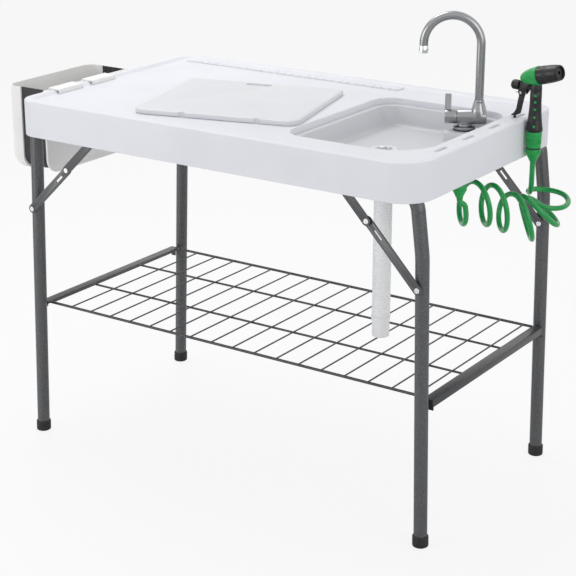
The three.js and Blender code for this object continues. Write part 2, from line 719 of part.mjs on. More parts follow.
function sinkBasin() {
  const flange = stacked(sinkOutline, [
    [SEAT_GAP, ledgeTop + SEAT_GAP],
    [SEAT_GAP, basinFlangeTop],
  ]);
  const lowInset = basinOuterInset + BASIN_TAPER;
  const shell = stacked(sinkOutline, [
    [lowInset + BASIN_FOOT, basinUnder],
    [lowInset, basinUnder + BASIN_FOOT],
    [basinOuterInset, ledgeTop + SEAT_GAP + WELD_DEPTH],
  ]);
  const hollow = stacked(sinkOutline, [
    [lowInset + BASIN_FOOT + BASIN_WALL / 2, BASIN_FLOOR_Z],
    [lowInset + BASIN_WALL, BASIN_FLOOR_Z + BASIN_FOOT],
    [basinOuterInset + BASIN_WALL, basinFlangeTop],
    [basinOuterInset + BASIN_WALL, basinFlangeTop + CUT_OVERRUN],
  ]);
  const platform = block(
    PLATFORM_LEFT,
    SINK_RIGHT,
    PLATFORM_FRONT,
    SINK_REAR,
    BASIN_FLOOR_Z - CUT_OVERRUN,
    platformTop,
  );
  const pocket = block(
    PLATFORM_LEFT + BASIN_WALL,
    SINK_RIGHT - lowInset - BASIN_FOOT - BASIN_WALL,
    PLATFORM_FRONT + BASIN_WALL,
    SINK_REAR - lowInset - BASIN_FOOT - BASIN_WALL,
    basinUnder - CUT_OVERRUN,
    platformTop - BASIN_WALL,
  );
  const drainHole = post(
    holeRadius(DRAIN_BODY_RADIUS, RUN_GAP),
    basinUnder - CUT_OVERRUN,
    BASIN_FLOOR_Z + CUT_OVERRUN,
    DRAIN_X,
    DRAIN_Y,
  );
  const tapHole = post(
    holeRadius(SHANK_RADIUS, RUN_GAP),
    basinUnder - CUT_OVERRUN,
    platformTop + CUT_OVERRUN,
    tapBaseX,
    tapBaseY,
  );
  return cut(joined(flange, shell), cut(hollow, platform), pocket, drainHole, tapHole);
}

// Leg frames: the middle line of one leg from its foot to the pivot bar, in X and Z

const footTubeZ = CAP_SOLE + SEAT_GAP;

const legs = {
  left: {
    side: -1,
    pivotX: LEFT_PIVOT_X,
    line: [
      [-FOOT_X, 0],
      [LEFT_PIVOT_X, PIVOT_Z],
    ],
    bends: [],
  },
  right: {
    side: 1,
    pivotX: RIGHT_PIVOT_X,
    line: [
      [FOOT_X, 0],
      [RIGHT_KNEE_X, RIGHT_KNEE_Z],
      [RIGHT_SHOULDER_X, RIGHT_SHOULDER_Z],
      [RIGHT_PIVOT_X, PIVOT_Z],
    ],
    bends: [RIGHT_KNEE_BEND, RIGHT_SHOULDER_BEND],
  },
};

// Where the straight lower part of a leg stands at a height
function legXAt(leg, z) {
  const [[x0, z0], [x1, z1]] = leg.line;
  return x0 + ((x1 - x0) * (z - z0)) / (z1 - z0);
}

function legFrame(leg) {
  const start = [legXAt(leg, footTubeZ), footTubeZ];
  const front = [start, ...leg.line.slice(1)].map(([x, z]) => new THREE.Vector3(x, -LEG_Y, z));
  const rear = front.map((point) => new THREE.Vector3(point.x, LEG_Y, point.z)).reverse();
  const radii = [...leg.bends, TUBE_BEND, TUBE_BEND, ...leg.bends.toReversed()];
  const tube = bar(rounded([...front, ...rear], radii), TUBE_RADIUS, TUBE_SIDES);
  const studs = [-1, 1].flatMap((end) => {
    const brace = braceOf(leg);
    const legY = end * LEG_Y;
    const surface = legY - end * (TUBE_RADIUS - WELD_DEPTH);
    const shelfStud = crosswise(STUD_RADIUS, surface, surface - end * STUD_LENGTH, studX(leg), studZ);
    const stemEnd = legY - linkNear - LINK_THICKNESS - SEAT_GAP;
    const stem = crosswise(PIN_RADIUS, legY - TUBE_RADIUS + 2 * WELD_DEPTH, stemEnd - WELD_DEPTH, ...brace.low);
    const head = crosswise(RIVET_HEAD_RADIUS, stemEnd, stemEnd - RIVET_HEAD_HEIGHT, ...brace.low);
    return [shelfStud, stem, head];
  });
  return joined(tube, ...studs);
}

function footCap(leg, end) {
  const lean = Math.atan2(leg.line[1][0] - leg.line[0][0], leg.line[1][1] - leg.line[0][1]);
  const bore = holeRadius(TUBE_RADIUS, SEAT_GAP);
  const profile = [
    [0, -CUT_OVERRUN],
    [CAP_RADIUS, -CUT_OVERRUN],
    [CAP_RADIUS, CAP_HEIGHT - CAP_ROUND],
    [CAP_RADIUS - CAP_ROUND / 2, CAP_HEIGHT],
    [bore, CAP_HEIGHT],
    [bore, CAP_SOLE],
    [0, CAP_SOLE],
  ];
  const cap = turned(profile).rotateY(lean).translate(legXAt(leg, 0), end * LEG_Y, 0);
  const below = block(-TOP_LENGTH, TOP_LENGTH, -TOP_DEPTH, TOP_DEPTH, -CAP_HEIGHT, 0);
  return cut(cap, below);
}

function pivotBlock(leg, end) {
  const bore = holeRadius(TUBE_RADIUS, SEAT_GAP);
  const half = bore + BLOCK_WALL;
  const y = end * BLOCK_Y;
  const y0 = y - BLOCK_LENGTH / 2;
  const y1 = y + BLOCK_LENGTH / 2;
  const body = block(leg.pivotX - half, leg.pivotX + half, y0, y1, PIVOT_Z - half, deckUnder - SEAT_GAP);
  return cut(body, crosswise(bore, y0 - CUT_OVERRUN, y1 + CUT_OVERRUN, leg.pivotX, PIVOT_Z, ROUND_SIDES));
}

// Braces: two flat links between a leg and an anchor under the top, side by side at their middle pivot

const linkNear = TUBE_RADIUS + LINK_STANDOFF;
const upperNear = linkNear + LINK_THICKNESS + LINK_GAP;

function braceOf(leg) {
  if (leg.side < 0) {
    const slope = Math.atan2(leg.line[0][1] - PIVOT_Z, leg.line[0][0] - leg.pivotX);
    const low = [leg.pivotX + LEFT_BRACE_ARM * Math.cos(slope), PIVOT_Z + LEFT_BRACE_ARM * Math.sin(slope)];
    const anchor = [leg.pivotX + LEFT_BRACE_ARM, PIVOT_Z];
    return { low, anchor, middle: [(low[0] + anchor[0]) / 2, (low[1] + anchor[1]) / 2] };
  }
  const low = [legXAt(leg, RIGHT_BRACE_Z), RIGHT_BRACE_Z];
  const anchor = [RIGHT_ANCHOR_X, PIVOT_Z];
  const length = Math.hypot(low[0] - anchor[0], low[1] - anchor[1]);
  const share = RIGHT_UPPER_LINK / length;
  return { low, anchor, middle: anchor.map((value, i) => value + (low[i] - value) * share) };
}

// A flat bar with round ends between two points in X and Z
function linkShape(from, to) {
  const angle = Math.atan2(to[1] - from[1], to[0] - from[0]);
  const shape = new THREE.Shape();
  shape.absarc(...to, LINK_WIDTH / 2, angle - Math.PI / 2, angle + Math.PI / 2, false);
  shape.absarc(...from, LINK_WIDTH / 2, angle + Math.PI / 2, angle + Math.PI * 1.5, false);
  shape.closePath();
  return shape;
}

function lowerLink(leg, end) {
  const { low, middle } = braceOf(leg);
  const near = end * LEG_Y - linkNear;
  const plate = sidePlate(linkShape(low, middle), near - LINK_THICKNESS, near);
  const hole = crosswise(
    holeRadius(PIN_RADIUS, RUN_GAP, SMALL_SIDES),
    near + CUT_OVERRUN,
    near - LINK_THICKNESS - CUT_OVERRUN,
    ...low,
  );
  const angle = Math.atan2(low[1] - middle[1], low[0] - middle[0]);
  const slot = block(
    LOCK_SLOT_PLACE - LOCK_SLOT_LENGTH / 2,
    LOCK_SLOT_PLACE + LOCK_SLOT_LENGTH / 2,
    near - LINK_THICKNESS - CUT_OVERRUN,
    near + CUT_OVERRUN,
    -LOCK_SLOT_WIDTH / 2,
    LOCK_SLOT_WIDTH / 2,
  );
  slot.rotateY(-angle).translate(middle[0], 0, middle[1]);
  const head = crosswise(RIVET_HEAD_RADIUS, near - WELD_DEPTH, near + RIVET_HEAD_HEIGHT, ...middle);
  return joined(cut(plate, hole, slot), head);
}

function upperLink(leg, end) {
  const { anchor, middle } = braceOf(leg);
  const near = end * LEG_Y - upperNear;
  const far = near - LINK_THICKNESS;
  const plate = sidePlate(linkShape(middle, anchor), far, near);
  const bore = holeRadius(PIN_RADIUS, RUN_GAP, SMALL_SIDES);
  const hole = crosswise(bore, near + CUT_OVERRUN, far - CUT_OVERRUN, ...anchor);
  const head = crosswise(RIVET_HEAD_RADIUS, far + WELD_DEPTH, far - RIVET_HEAD_HEIGHT, ...middle);
  return joined(cut(plate, hole), head);
}

function braceAnchor(leg, end) {
  const { anchor } = braceOf(leg);
  const linkFar = end * LEG_Y - upperNear - LINK_THICKNESS;
  const plateNear = linkFar - SEAT_GAP - RIVET_HEAD_HEIGHT - SEAT_GAP;
  const plateFar = plateNear - ANCHOR_THICKNESS;
  const half = ANCHOR_WIDTH / 2;
  const [x, z] = anchor;
  const top = deckUnder - SEAT_GAP;
  const plate = block(x - half, x + half, plateFar, plateNear, z - half, top);
  const footY = end < 0 ? plateNear + ANCHOR_FOOT : plateFar - ANCHOR_FOOT;
  const low = Math.min(footY, plateFar);
  const foot = block(x - half, x + half, low, Math.max(footY, plateNear), top - ANCHOR_THICKNESS, top);
  const collar = crosswise(ANCHOR_COLLAR_RADIUS, plateNear - WELD_DEPTH, linkFar - SEAT_GAP, x, z);
  const pin = crosswise(PIN_RADIUS, plateNear - WELD_DEPTH, linkFar + LINK_THICKNESS, x, z);
  return joined(plate, foot, collar, pin);
}

// Shelf: a wire grid between two angle bars, hooked over the studs of the legs

const studZ = SHELF_Z - HOOK_JAW - SEAT_GAP - STUD_RADIUS;
const studX = (leg) => legXAt(leg, studZ);
const hookFar = LEG_Y - TUBE_RADIUS - HOOK_LEG_GAP;
const hookNear = hookFar - HOOK_THICKNESS;
const lipInner = (leg) => studX(leg) + leg.side * (STUD_RADIUS + RUN_GAP);
const barOuter = (leg) => lipInner(leg) + leg.side * HOOK_LIP;
const barInner = (leg) => barOuter(leg) - leg.side * BAR_FLANGE;
const barEndY = hookNear - SEAT_GAP;

function shelfHook(leg, end) {
  const jaw = barInner(leg);
  const lip = lipInner(leg);
  const outer = barOuter(leg);
  const shape = polygon([
    [jaw, SHELF_Z],
    [jaw, SHELF_Z - HOOK_JAW],
    [lip, SHELF_Z - HOOK_JAW],
    [lip, SHELF_Z - HOOK_DROP],
    [outer, SHELF_Z - HOOK_DROP],
    [outer, SHELF_Z],
  ]);
  const ys = [end * hookNear, end * hookFar];
  return sidePlate(shape, Math.min(...ys), Math.max(...ys));
}

function shelfEndBar(leg) {
  const inner = barInner(leg);
  const outer = barOuter(leg);
  const web = outer - leg.side * BAR_THICKNESS;
  const shape = polygon([
    [inner, SHELF_Z],
    [inner, SHELF_Z - BAR_THICKNESS],
    [web, SHELF_Z - BAR_THICKNESS],
    [web, SHELF_Z - BAR_WEB],
    [outer, SHELF_Z - BAR_WEB],
    [outer, SHELF_Z],
  ]);
  return sidePlate(shape, -barEndY, barEndY);
}

function shelfGrid() {
  const left = barInner(legs.left) + SEAT_GAP;
  const right = barInner(legs.right) - SEAT_GAP;
  const railY = barEndY - RAIL_INSET;
  const railZ = SHELF_Z - BAR_THICKNESS / 2;
  const rails = [-railY, railY].map((y) => lengthwise(RAIL_RADIUS, left, right, y, railZ, WIRE_SIDES));
  const middles = MID_RAIL_YS.map((y) => lengthwise(MID_RAIL_RADIUS, left, right, y, railZ, WIRE_SIDES));
  const wireZ = railZ + WIRE_RADIUS;
  const wires = Array.from({ length: WIRE_COUNT }, (_, i) => {
    const x = WIRE_FIRST_X + i * WIRE_PITCH;
    return crosswise(WIRE_RADIUS, -railY, railY, x, wireZ, WIRE_SIDES);
  });
  return joined(...rails, ...middles, ...wires);
}

// Cutting board, lying on the deck

function cuttingBoard() {
  const halfLength = BOARD_LENGTH / 2;
  const halfWidth = BOARD_WIDTH / 2;
  const outline = roundedRectangle(-halfLength, halfLength, -halfWidth, halfWidth, [
    BOARD_CORNER,
    BOARD_CORNER,
    BOARD_CORNER,
    BOARD_CORNER,
  ]);
  const slab = stacked(outline, [
    [BOARD_EDGE, 0],
    [0, BOARD_EDGE],
    [0, BOARD_THICKNESS - BOARD_EDGE],
    [BOARD_EDGE, BOARD_THICKNESS],
  ]);
  const slotY = halfWidth - HANDLE_SLOT_EDGE;
  const halfSlot = HANDLE_SLOT_WIDTH / 2;
  const slotLeft = HANDLE_SLOT_X - HANDLE_SLOT_LENGTH / 2;
  const slotOutline = roundedRectangle(slotLeft, slotLeft + HANDLE_SLOT_LENGTH, slotY - halfSlot, slotY + halfSlot, [
    halfSlot,
    halfSlot,
    halfSlot,
    halfSlot,
  ]);
  const slot = stacked(slotOutline, [
    [0, -CUT_OVERRUN],
    [0, BOARD_THICKNESS + CUT_OVERRUN],
  ]);
  const notches = NOTCH_XS.map((x) =>
    block(
      x - NOTCH_WIDTH / 2,
      x + NOTCH_WIDTH / 2,
      -halfWidth - CUT_OVERRUN,
      -halfWidth + NOTCH_DEPTH,
      -CUT_OVERRUN,
      BOARD_THICKNESS + CUT_OVERRUN,
    ),
  );
  return cut(slab, slot, ...notches);
}

// Tap, in its own frame: the riser stands at the origin and the spout points along X

const gasketBottom = platformTop + SEAT_GAP;
const tapBaseBottom = gasketBottom + TAP_GASKET_HEIGHT + SEAT_GAP;
const spoutBottom = TAP_SOCKET_TOP_Z + SEAT_GAP;

function tapGasket() {
  const ring = post(TAP_BASE_RADIUS, gasketBottom, gasketBottom + TAP_GASKET_HEIGHT, TAP_BASE_REACH);
  const bore = post(
    holeRadius(SHANK_RADIUS, RUN_GAP),
    gasketBottom - CUT_OVERRUN,
    tapBaseBottom + CUT_OVERRUN,
    TAP_BASE_REACH,
  );
  return cut(ring, bore);
}

function tapBody() {
  const shank = post(SHANK_RADIUS, tapBaseBottom - SHANK_LENGTH, tapBaseBottom + WELD_DEPTH, TAP_BASE_REACH);
  const base = post(TAP_BASE_RADIUS, tapBaseBottom, tapBaseBottom + TAP_BASE_HEIGHT, TAP_BASE_REACH);
  const column = post(TAP_COLUMN_RADIUS, tapBaseBottom, TAP_BODY_Z, TAP_BASE_REACH);
  const seam = TAP_SEAM_REACH;
  const body = lengthwise(TAP_BODY_RADIUS, -TAP_BODY_BACK, seam, 0, TAP_BODY_Z, ROUND_SIDES);
  const socket = turned([
    [0, TAP_BODY_Z],
    [TAP_SOCKET_RADIUS, TAP_BODY_Z],
    [TAP_SOCKET_RADIUS, TAP_SOCKET_Z],
    [TAP_SOCKET_TOP_RADIUS, TAP_SOCKET_TOP_Z],
    [0, TAP_SOCKET_TOP_Z],
  ]);
  return joined(body, column, base, shank, socket);
}

function tapNut() {
  const top = platformTop - BASIN_WALL - SEAT_GAP;
  const nut = post(TAP_NUT_RADIUS, top - TAP_NUT_HEIGHT, top, TAP_BASE_REACH, 0, NUT_SIDES);
  const bore = holeRadius(SHANK_RADIUS, SEAT_GAP);
  return cut(nut, post(bore, top - TAP_NUT_HEIGHT - CUT_OVERRUN, top + CUT_OVERRUN, TAP_BASE_REACH));
}

function tapSpout() {
  const archZ = SPOUT_TOP_Z - SPOUT_RADIUS - SPOUT_REACH / 2;
  const points = [new THREE.Vector3(0, 0, spoutBottom)];
  for (let step = 0; step <= SPOUT_STEPS; step += 1) {
    const angle = (Math.PI * step) / SPOUT_STEPS;
    const x = (SPOUT_REACH / 2) * (1 - Math.cos(angle));
    points.push(new THREE.Vector3(x, 0, archZ + (SPOUT_REACH / 2) * Math.sin(angle)));
  }
  if (archZ > SPOUT_TIP_Z) points.push(new THREE.Vector3(SPOUT_REACH, 0, SPOUT_TIP_Z));
  const tube = bar(points, SPOUT_RADIUS, TUBE_SIDES);
  const collar = post(SPOUT_RADIUS + SPOUT_COLLAR_GROWTH, spoutBottom, spoutBottom + SPOUT_COLLAR_HEIGHT);
  return joined(tube, collar);
}

function aerator() {
  const top = Math.min(SPOUT_TIP_Z, SPOUT_TOP_Z - SPOUT_RADIUS - SPOUT_REACH / 2) - SEAT_GAP;
  const low = top - AERATOR_HEIGHT;
  const cup = turned([
    [0, low + AERATOR_HEIGHT / 2],
    [AERATOR_BORE, low + AERATOR_HEIGHT / 2],
    [AERATOR_BORE, low],
    [AERATOR_RADIUS, low],
    [AERATOR_RADIUS, top],
    [0, top],
  ]);
  return cup.translate(SPOUT_REACH, 0, 0);
}

function tapLever() {
  const start = TAP_SEAM_REACH + SEAT_GAP;
  const barrel = lengthwise(TAP_BODY_RADIUS, start, TAP_BODY_END, 0, TAP_BODY_Z, ROUND_SIDES);
  const bladeStart = TAP_BODY_END - LEVER_WIDTH;
  const shape = polygon([
    [bladeStart, TAP_BODY_Z],
    [TAP_BODY_END, TAP_BODY_Z],
    [TAP_BODY_END, LEVER_TOP_Z],
    [bladeStart, LEVER_TOP_Z],
  ]);
  return joined(barrel, sidePlate(shape, -LEVER_THICKNESS / 2, LEVER_THICKNESS / 2));
}

// Drain: a flanged body through the basin floor, held by a nut, with a lift-out basket and the ribbed hose

const drainFlangeBottom = BASIN_FLOOR_Z + SEAT_GAP;
const drainFlangeTop = drainFlangeBottom + DRAIN_FLANGE_HEIGHT;
const hoseBoreFlat = HOSE_BORE_RADIUS * Math.cos(Math.PI / HOSE_SIDES);
const tailRadius = hoseBoreFlat - SEAT_GAP;
const tailBore = tailRadius - DRAIN_WALL;
const basketSeat = drainFlangeTop - BASKET_HEIGHT;

function drainBody() {
  const bowl = DRAIN_BODY_RADIUS - DRAIN_WALL;
  return turned([
    [tailBore, HOSE_TOP_Z - DRAIN_TAIL_OVERLAP],
    [tailRadius, HOSE_TOP_Z - DRAIN_TAIL_OVERLAP],
    [tailRadius, DRAIN_BODY_BOTTOM_Z - DRAIN_WALL],
    [DRAIN_BODY_RADIUS, DRAIN_BODY_BOTTOM_Z],
    [DRAIN_BODY_RADIUS, drainFlangeBottom],
    [DRAIN_FLANGE_RADIUS, drainFlangeBottom],
    [DRAIN_FLANGE_RADIUS - DRAIN_WALL / 2, drainFlangeTop],
    [bowl, drainFlangeTop],
    [bowl, basketSeat],
    [tailBore, basketSeat - DRAIN_WALL],
    [tailBore, HOSE_TOP_Z - DRAIN_TAIL_OVERLAP],
  ]);
}

function drainLocknut() {
  const top = basinUnder - SEAT_GAP;
  const nut = post(DRAIN_NUT_RADIUS, top - DRAIN_NUT_HEIGHT, top);
  return cut(nut, post(holeRadius(DRAIN_BODY_RADIUS, SEAT_GAP), top - DRAIN_NUT_HEIGHT - CUT_OVERRUN, top + CUT_OVERRUN));
}

function drainBasket() {
  const radius = DRAIN_BODY_RADIUS - DRAIN_WALL - RUN_GAP;
  const low = basketSeat + SEAT_GAP;
  const cup = turned([
    [0, low],
    [radius, low],
    [radius, drainFlangeTop],
    [radius - BASKET_WALL, drainFlangeTop],
    [radius - BASKET_WALL, low + BASKET_WALL],
    [BASKET_KNOB_RADIUS, low + BASKET_WALL],
    [BASKET_KNOB_RADIUS, low + BASKET_KNOB_HEIGHT],
    [0, low + BASKET_KNOB_HEIGHT],
  ]);
  const holes = Array.from({ length: BASKET_HOLES }, (_, i) => {
    const angle = (i * 2 * Math.PI) / BASKET_HOLES;
    const reach = radius * BASKET_HOLE_RING_SHARE;
    const [x, y] = [reach * Math.cos(angle), reach * Math.sin(angle)];
    return post(BASKET_HOLE_RADIUS, low - CUT_OVERRUN, low + CUT_OVERRUN, x, y, SMALL_SIDES);
  });
  return cut(cup, ...holes);
}

// The ribbed hose: rings of crest and root radii down its outside, and sparse rings up its bore
function ribbedHose(low, high) {
  const pitch = (high - low) / (HOSE_RIBS + 1);
  const rings = [[HOSE_ROOT_RADIUS, low]];
  for (let rib = 0; rib < HOSE_RIBS; rib += 1) {
    const middle = low + pitch * (rib + 1);
    rings.push([HOSE_ROOT_RADIUS, middle - pitch / 2], [HOSE_CREST_RADIUS, middle]);
  }
  rings.push([HOSE_ROOT_RADIUS, high]);
  const boreRings = Math.ceil(HOSE_RIBS / RIBS_PER_BORE_RING);
  for (let ring = 0; ring <= boreRings; ring += 1) {
    rings.push([HOSE_BORE_RADIUS, high - ((high - low) * ring) / boreRings]);
  }
  const positions = rings.flatMap(([radius, z]) =>
    Array.from({ length: HOSE_SIDES }, (_, side) => {
      const angle = ((side + 1 / 2) * 2 * Math.PI) / HOSE_SIDES;
      return [radius * Math.cos(angle), radius * Math.sin(angle), z];
    }).flat(),
  );
  const corners = [];
  for (let ring = 0; ring < rings.length; ring += 1) {
    const here = ring * HOSE_SIDES;
    const next = ((ring + 1) % rings.length) * HOSE_SIDES;
    for (let side = 0; side < HOSE_SIDES; side += 1) {
      const after = (side + 1) % HOSE_SIDES;
      corners.push(here + side, here + after, next + after, here + side, next + after, next + side);
    }
  }
  const geometry = new THREE.BufferGeometry();
  geometry.setAttribute("position", new THREE.Float32BufferAttribute(positions, 3));
  geometry.setIndex(corners);
  geometry.computeVertexNormals();
  return geometry;
}

function hoseCuff() {
  const ring = (top) => [
    [CUFF_RADIUS, top - CUFF_RING_HEIGHT],
    [CUFF_RING_RADIUS, top - CUFF_RING_HEIGHT],
    [CUFF_RING_RADIUS, top],
    [CUFF_RADIUS, top],
  ];
  const top = CUFF_TOP_Z - SEAT_GAP;
  return turned([
    [CUFF_BORE, CUFF_BOTTOM_Z],
    [CUFF_RADIUS, CUFF_BOTTOM_Z],
    ...ring(top - CUFF_RING_HEIGHT - CUFF_RING_GAP),
    ...ring(top),
    [CUFF_BORE, top],
    [CUFF_BORE, CUFF_BOTTOM_Z],
  ]);
}

// Water spigot and connector

function hoseSpigot() {
  const top = deckUnder - SEAT_GAP;
  const tip = CONNECTOR_TOP_Z - CONNECTOR_SOCKET;
  return turned([
    [0, tip],
    [SPIGOT_RADIUS, tip],
    [SPIGOT_RADIUS, top - SPIGOT_FLANGE_HEIGHT],
    [SPIGOT_FLANGE_RADIUS, top - SPIGOT_FLANGE_HEIGHT],
    [SPIGOT_FLANGE_RADIUS, top],
    [0, top],
  ]);
}

function hoseConnector() {
  const bore = holeRadius(SPIGOT_RADIUS, SEAT_GAP);
  const socket = CONNECTOR_TOP_Z - CONNECTOR_SOCKET - SEAT_GAP;
  return turned([
    [0, CONNECTOR_BOTTOM_Z],
    [CONNECTOR_NECK_RADIUS, CONNECTOR_BOTTOM_Z],
    [CONNECTOR_RADIUS, socket - CONNECTOR_WALL],
    [CONNECTOR_RADIUS, CONNECTOR_TOP_Z - CONNECTOR_WALL],
    [CONNECTOR_RADIUS - CONNECTOR_WALL, CONNECTOR_TOP_Z],
    [bore, CONNECTOR_TOP_Z],
    [bore, socket],
    [0, socket],
  ]);
}

// Curly hose: loops that start under the connector, lean over and end flat, then a bend up to the gun

const across = (turn) => new THREE.Vector3(-Math.sin(turn), Math.cos(turn), 0);
const along = (turn) => new THREE.Vector3(Math.cos(turn), Math.sin(turn), 0);
const UP = new THREE.Vector3(0, 0, 1);

function curlyHosePoints() {
  const start = new THREE.Vector3(SPIGOT_X, SPIGOT_Y, CONNECTOR_BOTTOM_Z - SEAT_GAP);
  const swayStart = start.clone().addScaledVector(UP, -CURLY_START_LENGTH);
  const fullSideways = 2 * CURLY_SWAY_RADIUS * (1 - Math.cos(CURLY_SWAY_TURN));
  const fullDown = 2 * CURLY_SWAY_RADIUS * Math.sin(CURLY_SWAY_TURN);
  const sway = [start, swayStart];
  for (let step = 1; step <= 2 * CURLY_SWAY_STEPS; step += 1) {
    const angle = CURLY_SWAY_TURN * (1 - Math.abs(1 - step / CURLY_SWAY_STEPS));
    const second = step > CURLY_SWAY_STEPS;
    const sideways = CURLY_SWAY_RADIUS * (1 - Math.cos(angle));
    const down = CURLY_SWAY_RADIUS * Math.sin(angle);
    const point = swayStart.clone();
    point.addScaledVector(along(CURLY_END_TURN), second ? fullSideways - sideways : sideways);
    sway.push(point.addScaledVector(UP, second ? down - fullDown : -down));
  }
  const loopStart = sway.pop();
  const end = new THREE.Vector3(GUN_X, GUN_Y, GUN_CONNECTOR_BOTTOM_Z - SEAT_GAP);
  const bendEnd = end.clone().addScaledVector(UP, -CURLY_END_LENGTH);
  const bendCentre = bendEnd.clone().addScaledVector(across(CURLY_END_TURN), CURLY_END_BEND);
  const loopEnd = bendCentre.clone().addScaledVector(UP, -CURLY_END_BEND);
  const centres = new THREE.CatmullRomCurve3([
    loopStart.clone().addScaledVector(across(CURLY_START_TURN), CURLY_LOOP_RADIUS),
    ...CURLY_CENTRES.map(({ share, outward, drop }) => {
      return new THREE.Vector3(start.x + outward, THREE.MathUtils.lerp(start.y, end.y, share), start.z - drop);
    }),
    loopEnd.clone().addScaledVector(along(CURLY_END_TURN), CURLY_LOOP_RADIUS),
  ]);
  const points = [...sway];
  const steps = Math.round(CURLY_TURNS * CURLY_STEPS_PER_TURN);
  const leanSpan = CURLY_LEAN_END_SHARE - CURLY_LEAN_START_SHARE;
  for (let step = 0; step <= steps; step += 1) {
    const share = step / steps;
    const leaning = THREE.MathUtils.clamp((share - CURLY_LEAN_START_SHARE) / leanSpan, 0, 1);
    const turn = THREE.MathUtils.lerp(CURLY_START_TURN, CURLY_END_TURN, leaning * leaning);
    const lean = (Math.PI / 2) * leaning;
    const rise = UP.clone().multiplyScalar(Math.cos(lean)).addScaledVector(along(turn), -Math.sin(lean));
    const phase = 2 * Math.PI * CURLY_TURNS * share;
    const point = centres.getPointAt(share);
    point.addScaledVector(across(turn), -CURLY_LOOP_RADIUS * Math.cos(phase));
    point.addScaledVector(rise, -CURLY_LOOP_RADIUS * Math.sin(phase));
    points.push(point);
  }
  const bendSteps = Math.round(CURLY_STEPS_PER_TURN / 4);
  for (let step = 1; step <= bendSteps; step += 1) {
    const angle = ((Math.PI / 2) * step) / bendSteps;
    const point = bendCentre.clone().addScaledVector(UP, -CURLY_END_BEND * Math.cos(angle));
    points.push(point.addScaledVector(across(CURLY_END_TURN), -CURLY_END_BEND * Math.sin(angle)));
  }
  points.push(end);
  return points;
}

// The least space between stretches of a tube that aren't neighbours along it
function leastGap(points, radius) {
  const fine = [];
  for (let i = 0; i + 1 < points.length; i += 1) {
    const pieces = Math.max(1, Math.round(points[i].distanceTo(points[i + 1]) / radius));
    for (let k = 0; k < pieces; k += 1) fine.push(points[i].clone().lerp(points[i + 1], k / pieces));
  }
  const lengths = [0];
  for (let i = 1; i < fine.length; i += 1) lengths.push(lengths[i - 1] + fine[i].distanceTo(fine[i - 1]));
  let least = Infinity;
  for (let i = 0; i < fine.length; i += 1) {
    for (let k = i + 1; k < fine.length; k += 1) {
      if (lengths[k] - lengths[i] < 2 * Math.PI * radius) continue;
      least = Math.min(least, fine[i].distanceTo(fine[k]));
    }
  }
  return { gap: least - 2 * radius, length: lengths.at(-1) };
}

const curlyPoints = curlyHosePoints();
const curly = leastGap(curlyPoints, CURLY_RADIUS);
const verdict = curly.gap > CURLY_LEAST_GAP ? "clear of itself" : "too close to itself";
console.log(`Curly hose: ${curly.length.toFixed(0)} mm long, least gap ${curly.gap.toFixed(1)} mm, ${verdict}`);

// Spray gun, in its own frame: X towards the nozzle, heights as on the table

const gunRingBottom = GUN_CONNECTOR_TOP_Z + SEAT_GAP;
const gunCollarBottom = gunRingBottom + GUN_RING_HEIGHT + SEAT_GAP;
const gunHandleBottom = gunCollarBottom + GUN_COLLAR_HEIGHT + SEAT_GAP;
const gunHandleTop = gunHandleBottom + GUN_HANDLE_HEIGHT;

function gunConnector() {
  const coneTop = GUN_CONNECTOR_BOTTOM_Z + GUN_CONNECTOR_CONE;
  return turned([
    [0, GUN_CONNECTOR_BOTTOM_Z],
    [GUN_CONNECTOR_NECK_RADIUS, GUN_CONNECTOR_BOTTOM_Z],
    [GUN_CONNECTOR_RADIUS, coneTop],
    [GUN_CONNECTOR_RADIUS, GUN_CONNECTOR_TOP_Z],
    [0, GUN_CONNECTOR_TOP_Z],
  ]);
}

function gunHandle() {
  const at = (share) => gunHandleBottom + GUN_HANDLE_HEIGHT * share;
  const flare = GUN_HANDLE_FLARE_RADIUS;
  const waist = GUN_HANDLE_WAIST_RADIUS;
  return turned([
    [0, at(0)],
    [(flare + waist) / 2, at(0)],
    [flare, at(0.04)],
    [(flare * 3 + waist) / 4, at(0.14)],
    [(flare + waist * 3) / 4, at(0.38)],
    [waist, at(0.68)],
    [waist, at(1)],
    [0, at(1)],
  ]);
}

// A turned piece about the barrel of the gun, from [radius, place along the barrel] pairs
function barrel(profile) {
  const geometry = turned(profile).rotateY(Math.PI / 2 - GUN_AXIS_RISE);
  return geometry.translate(GUN_AXIS_X, 0, GUN_AXIS_Z);
}

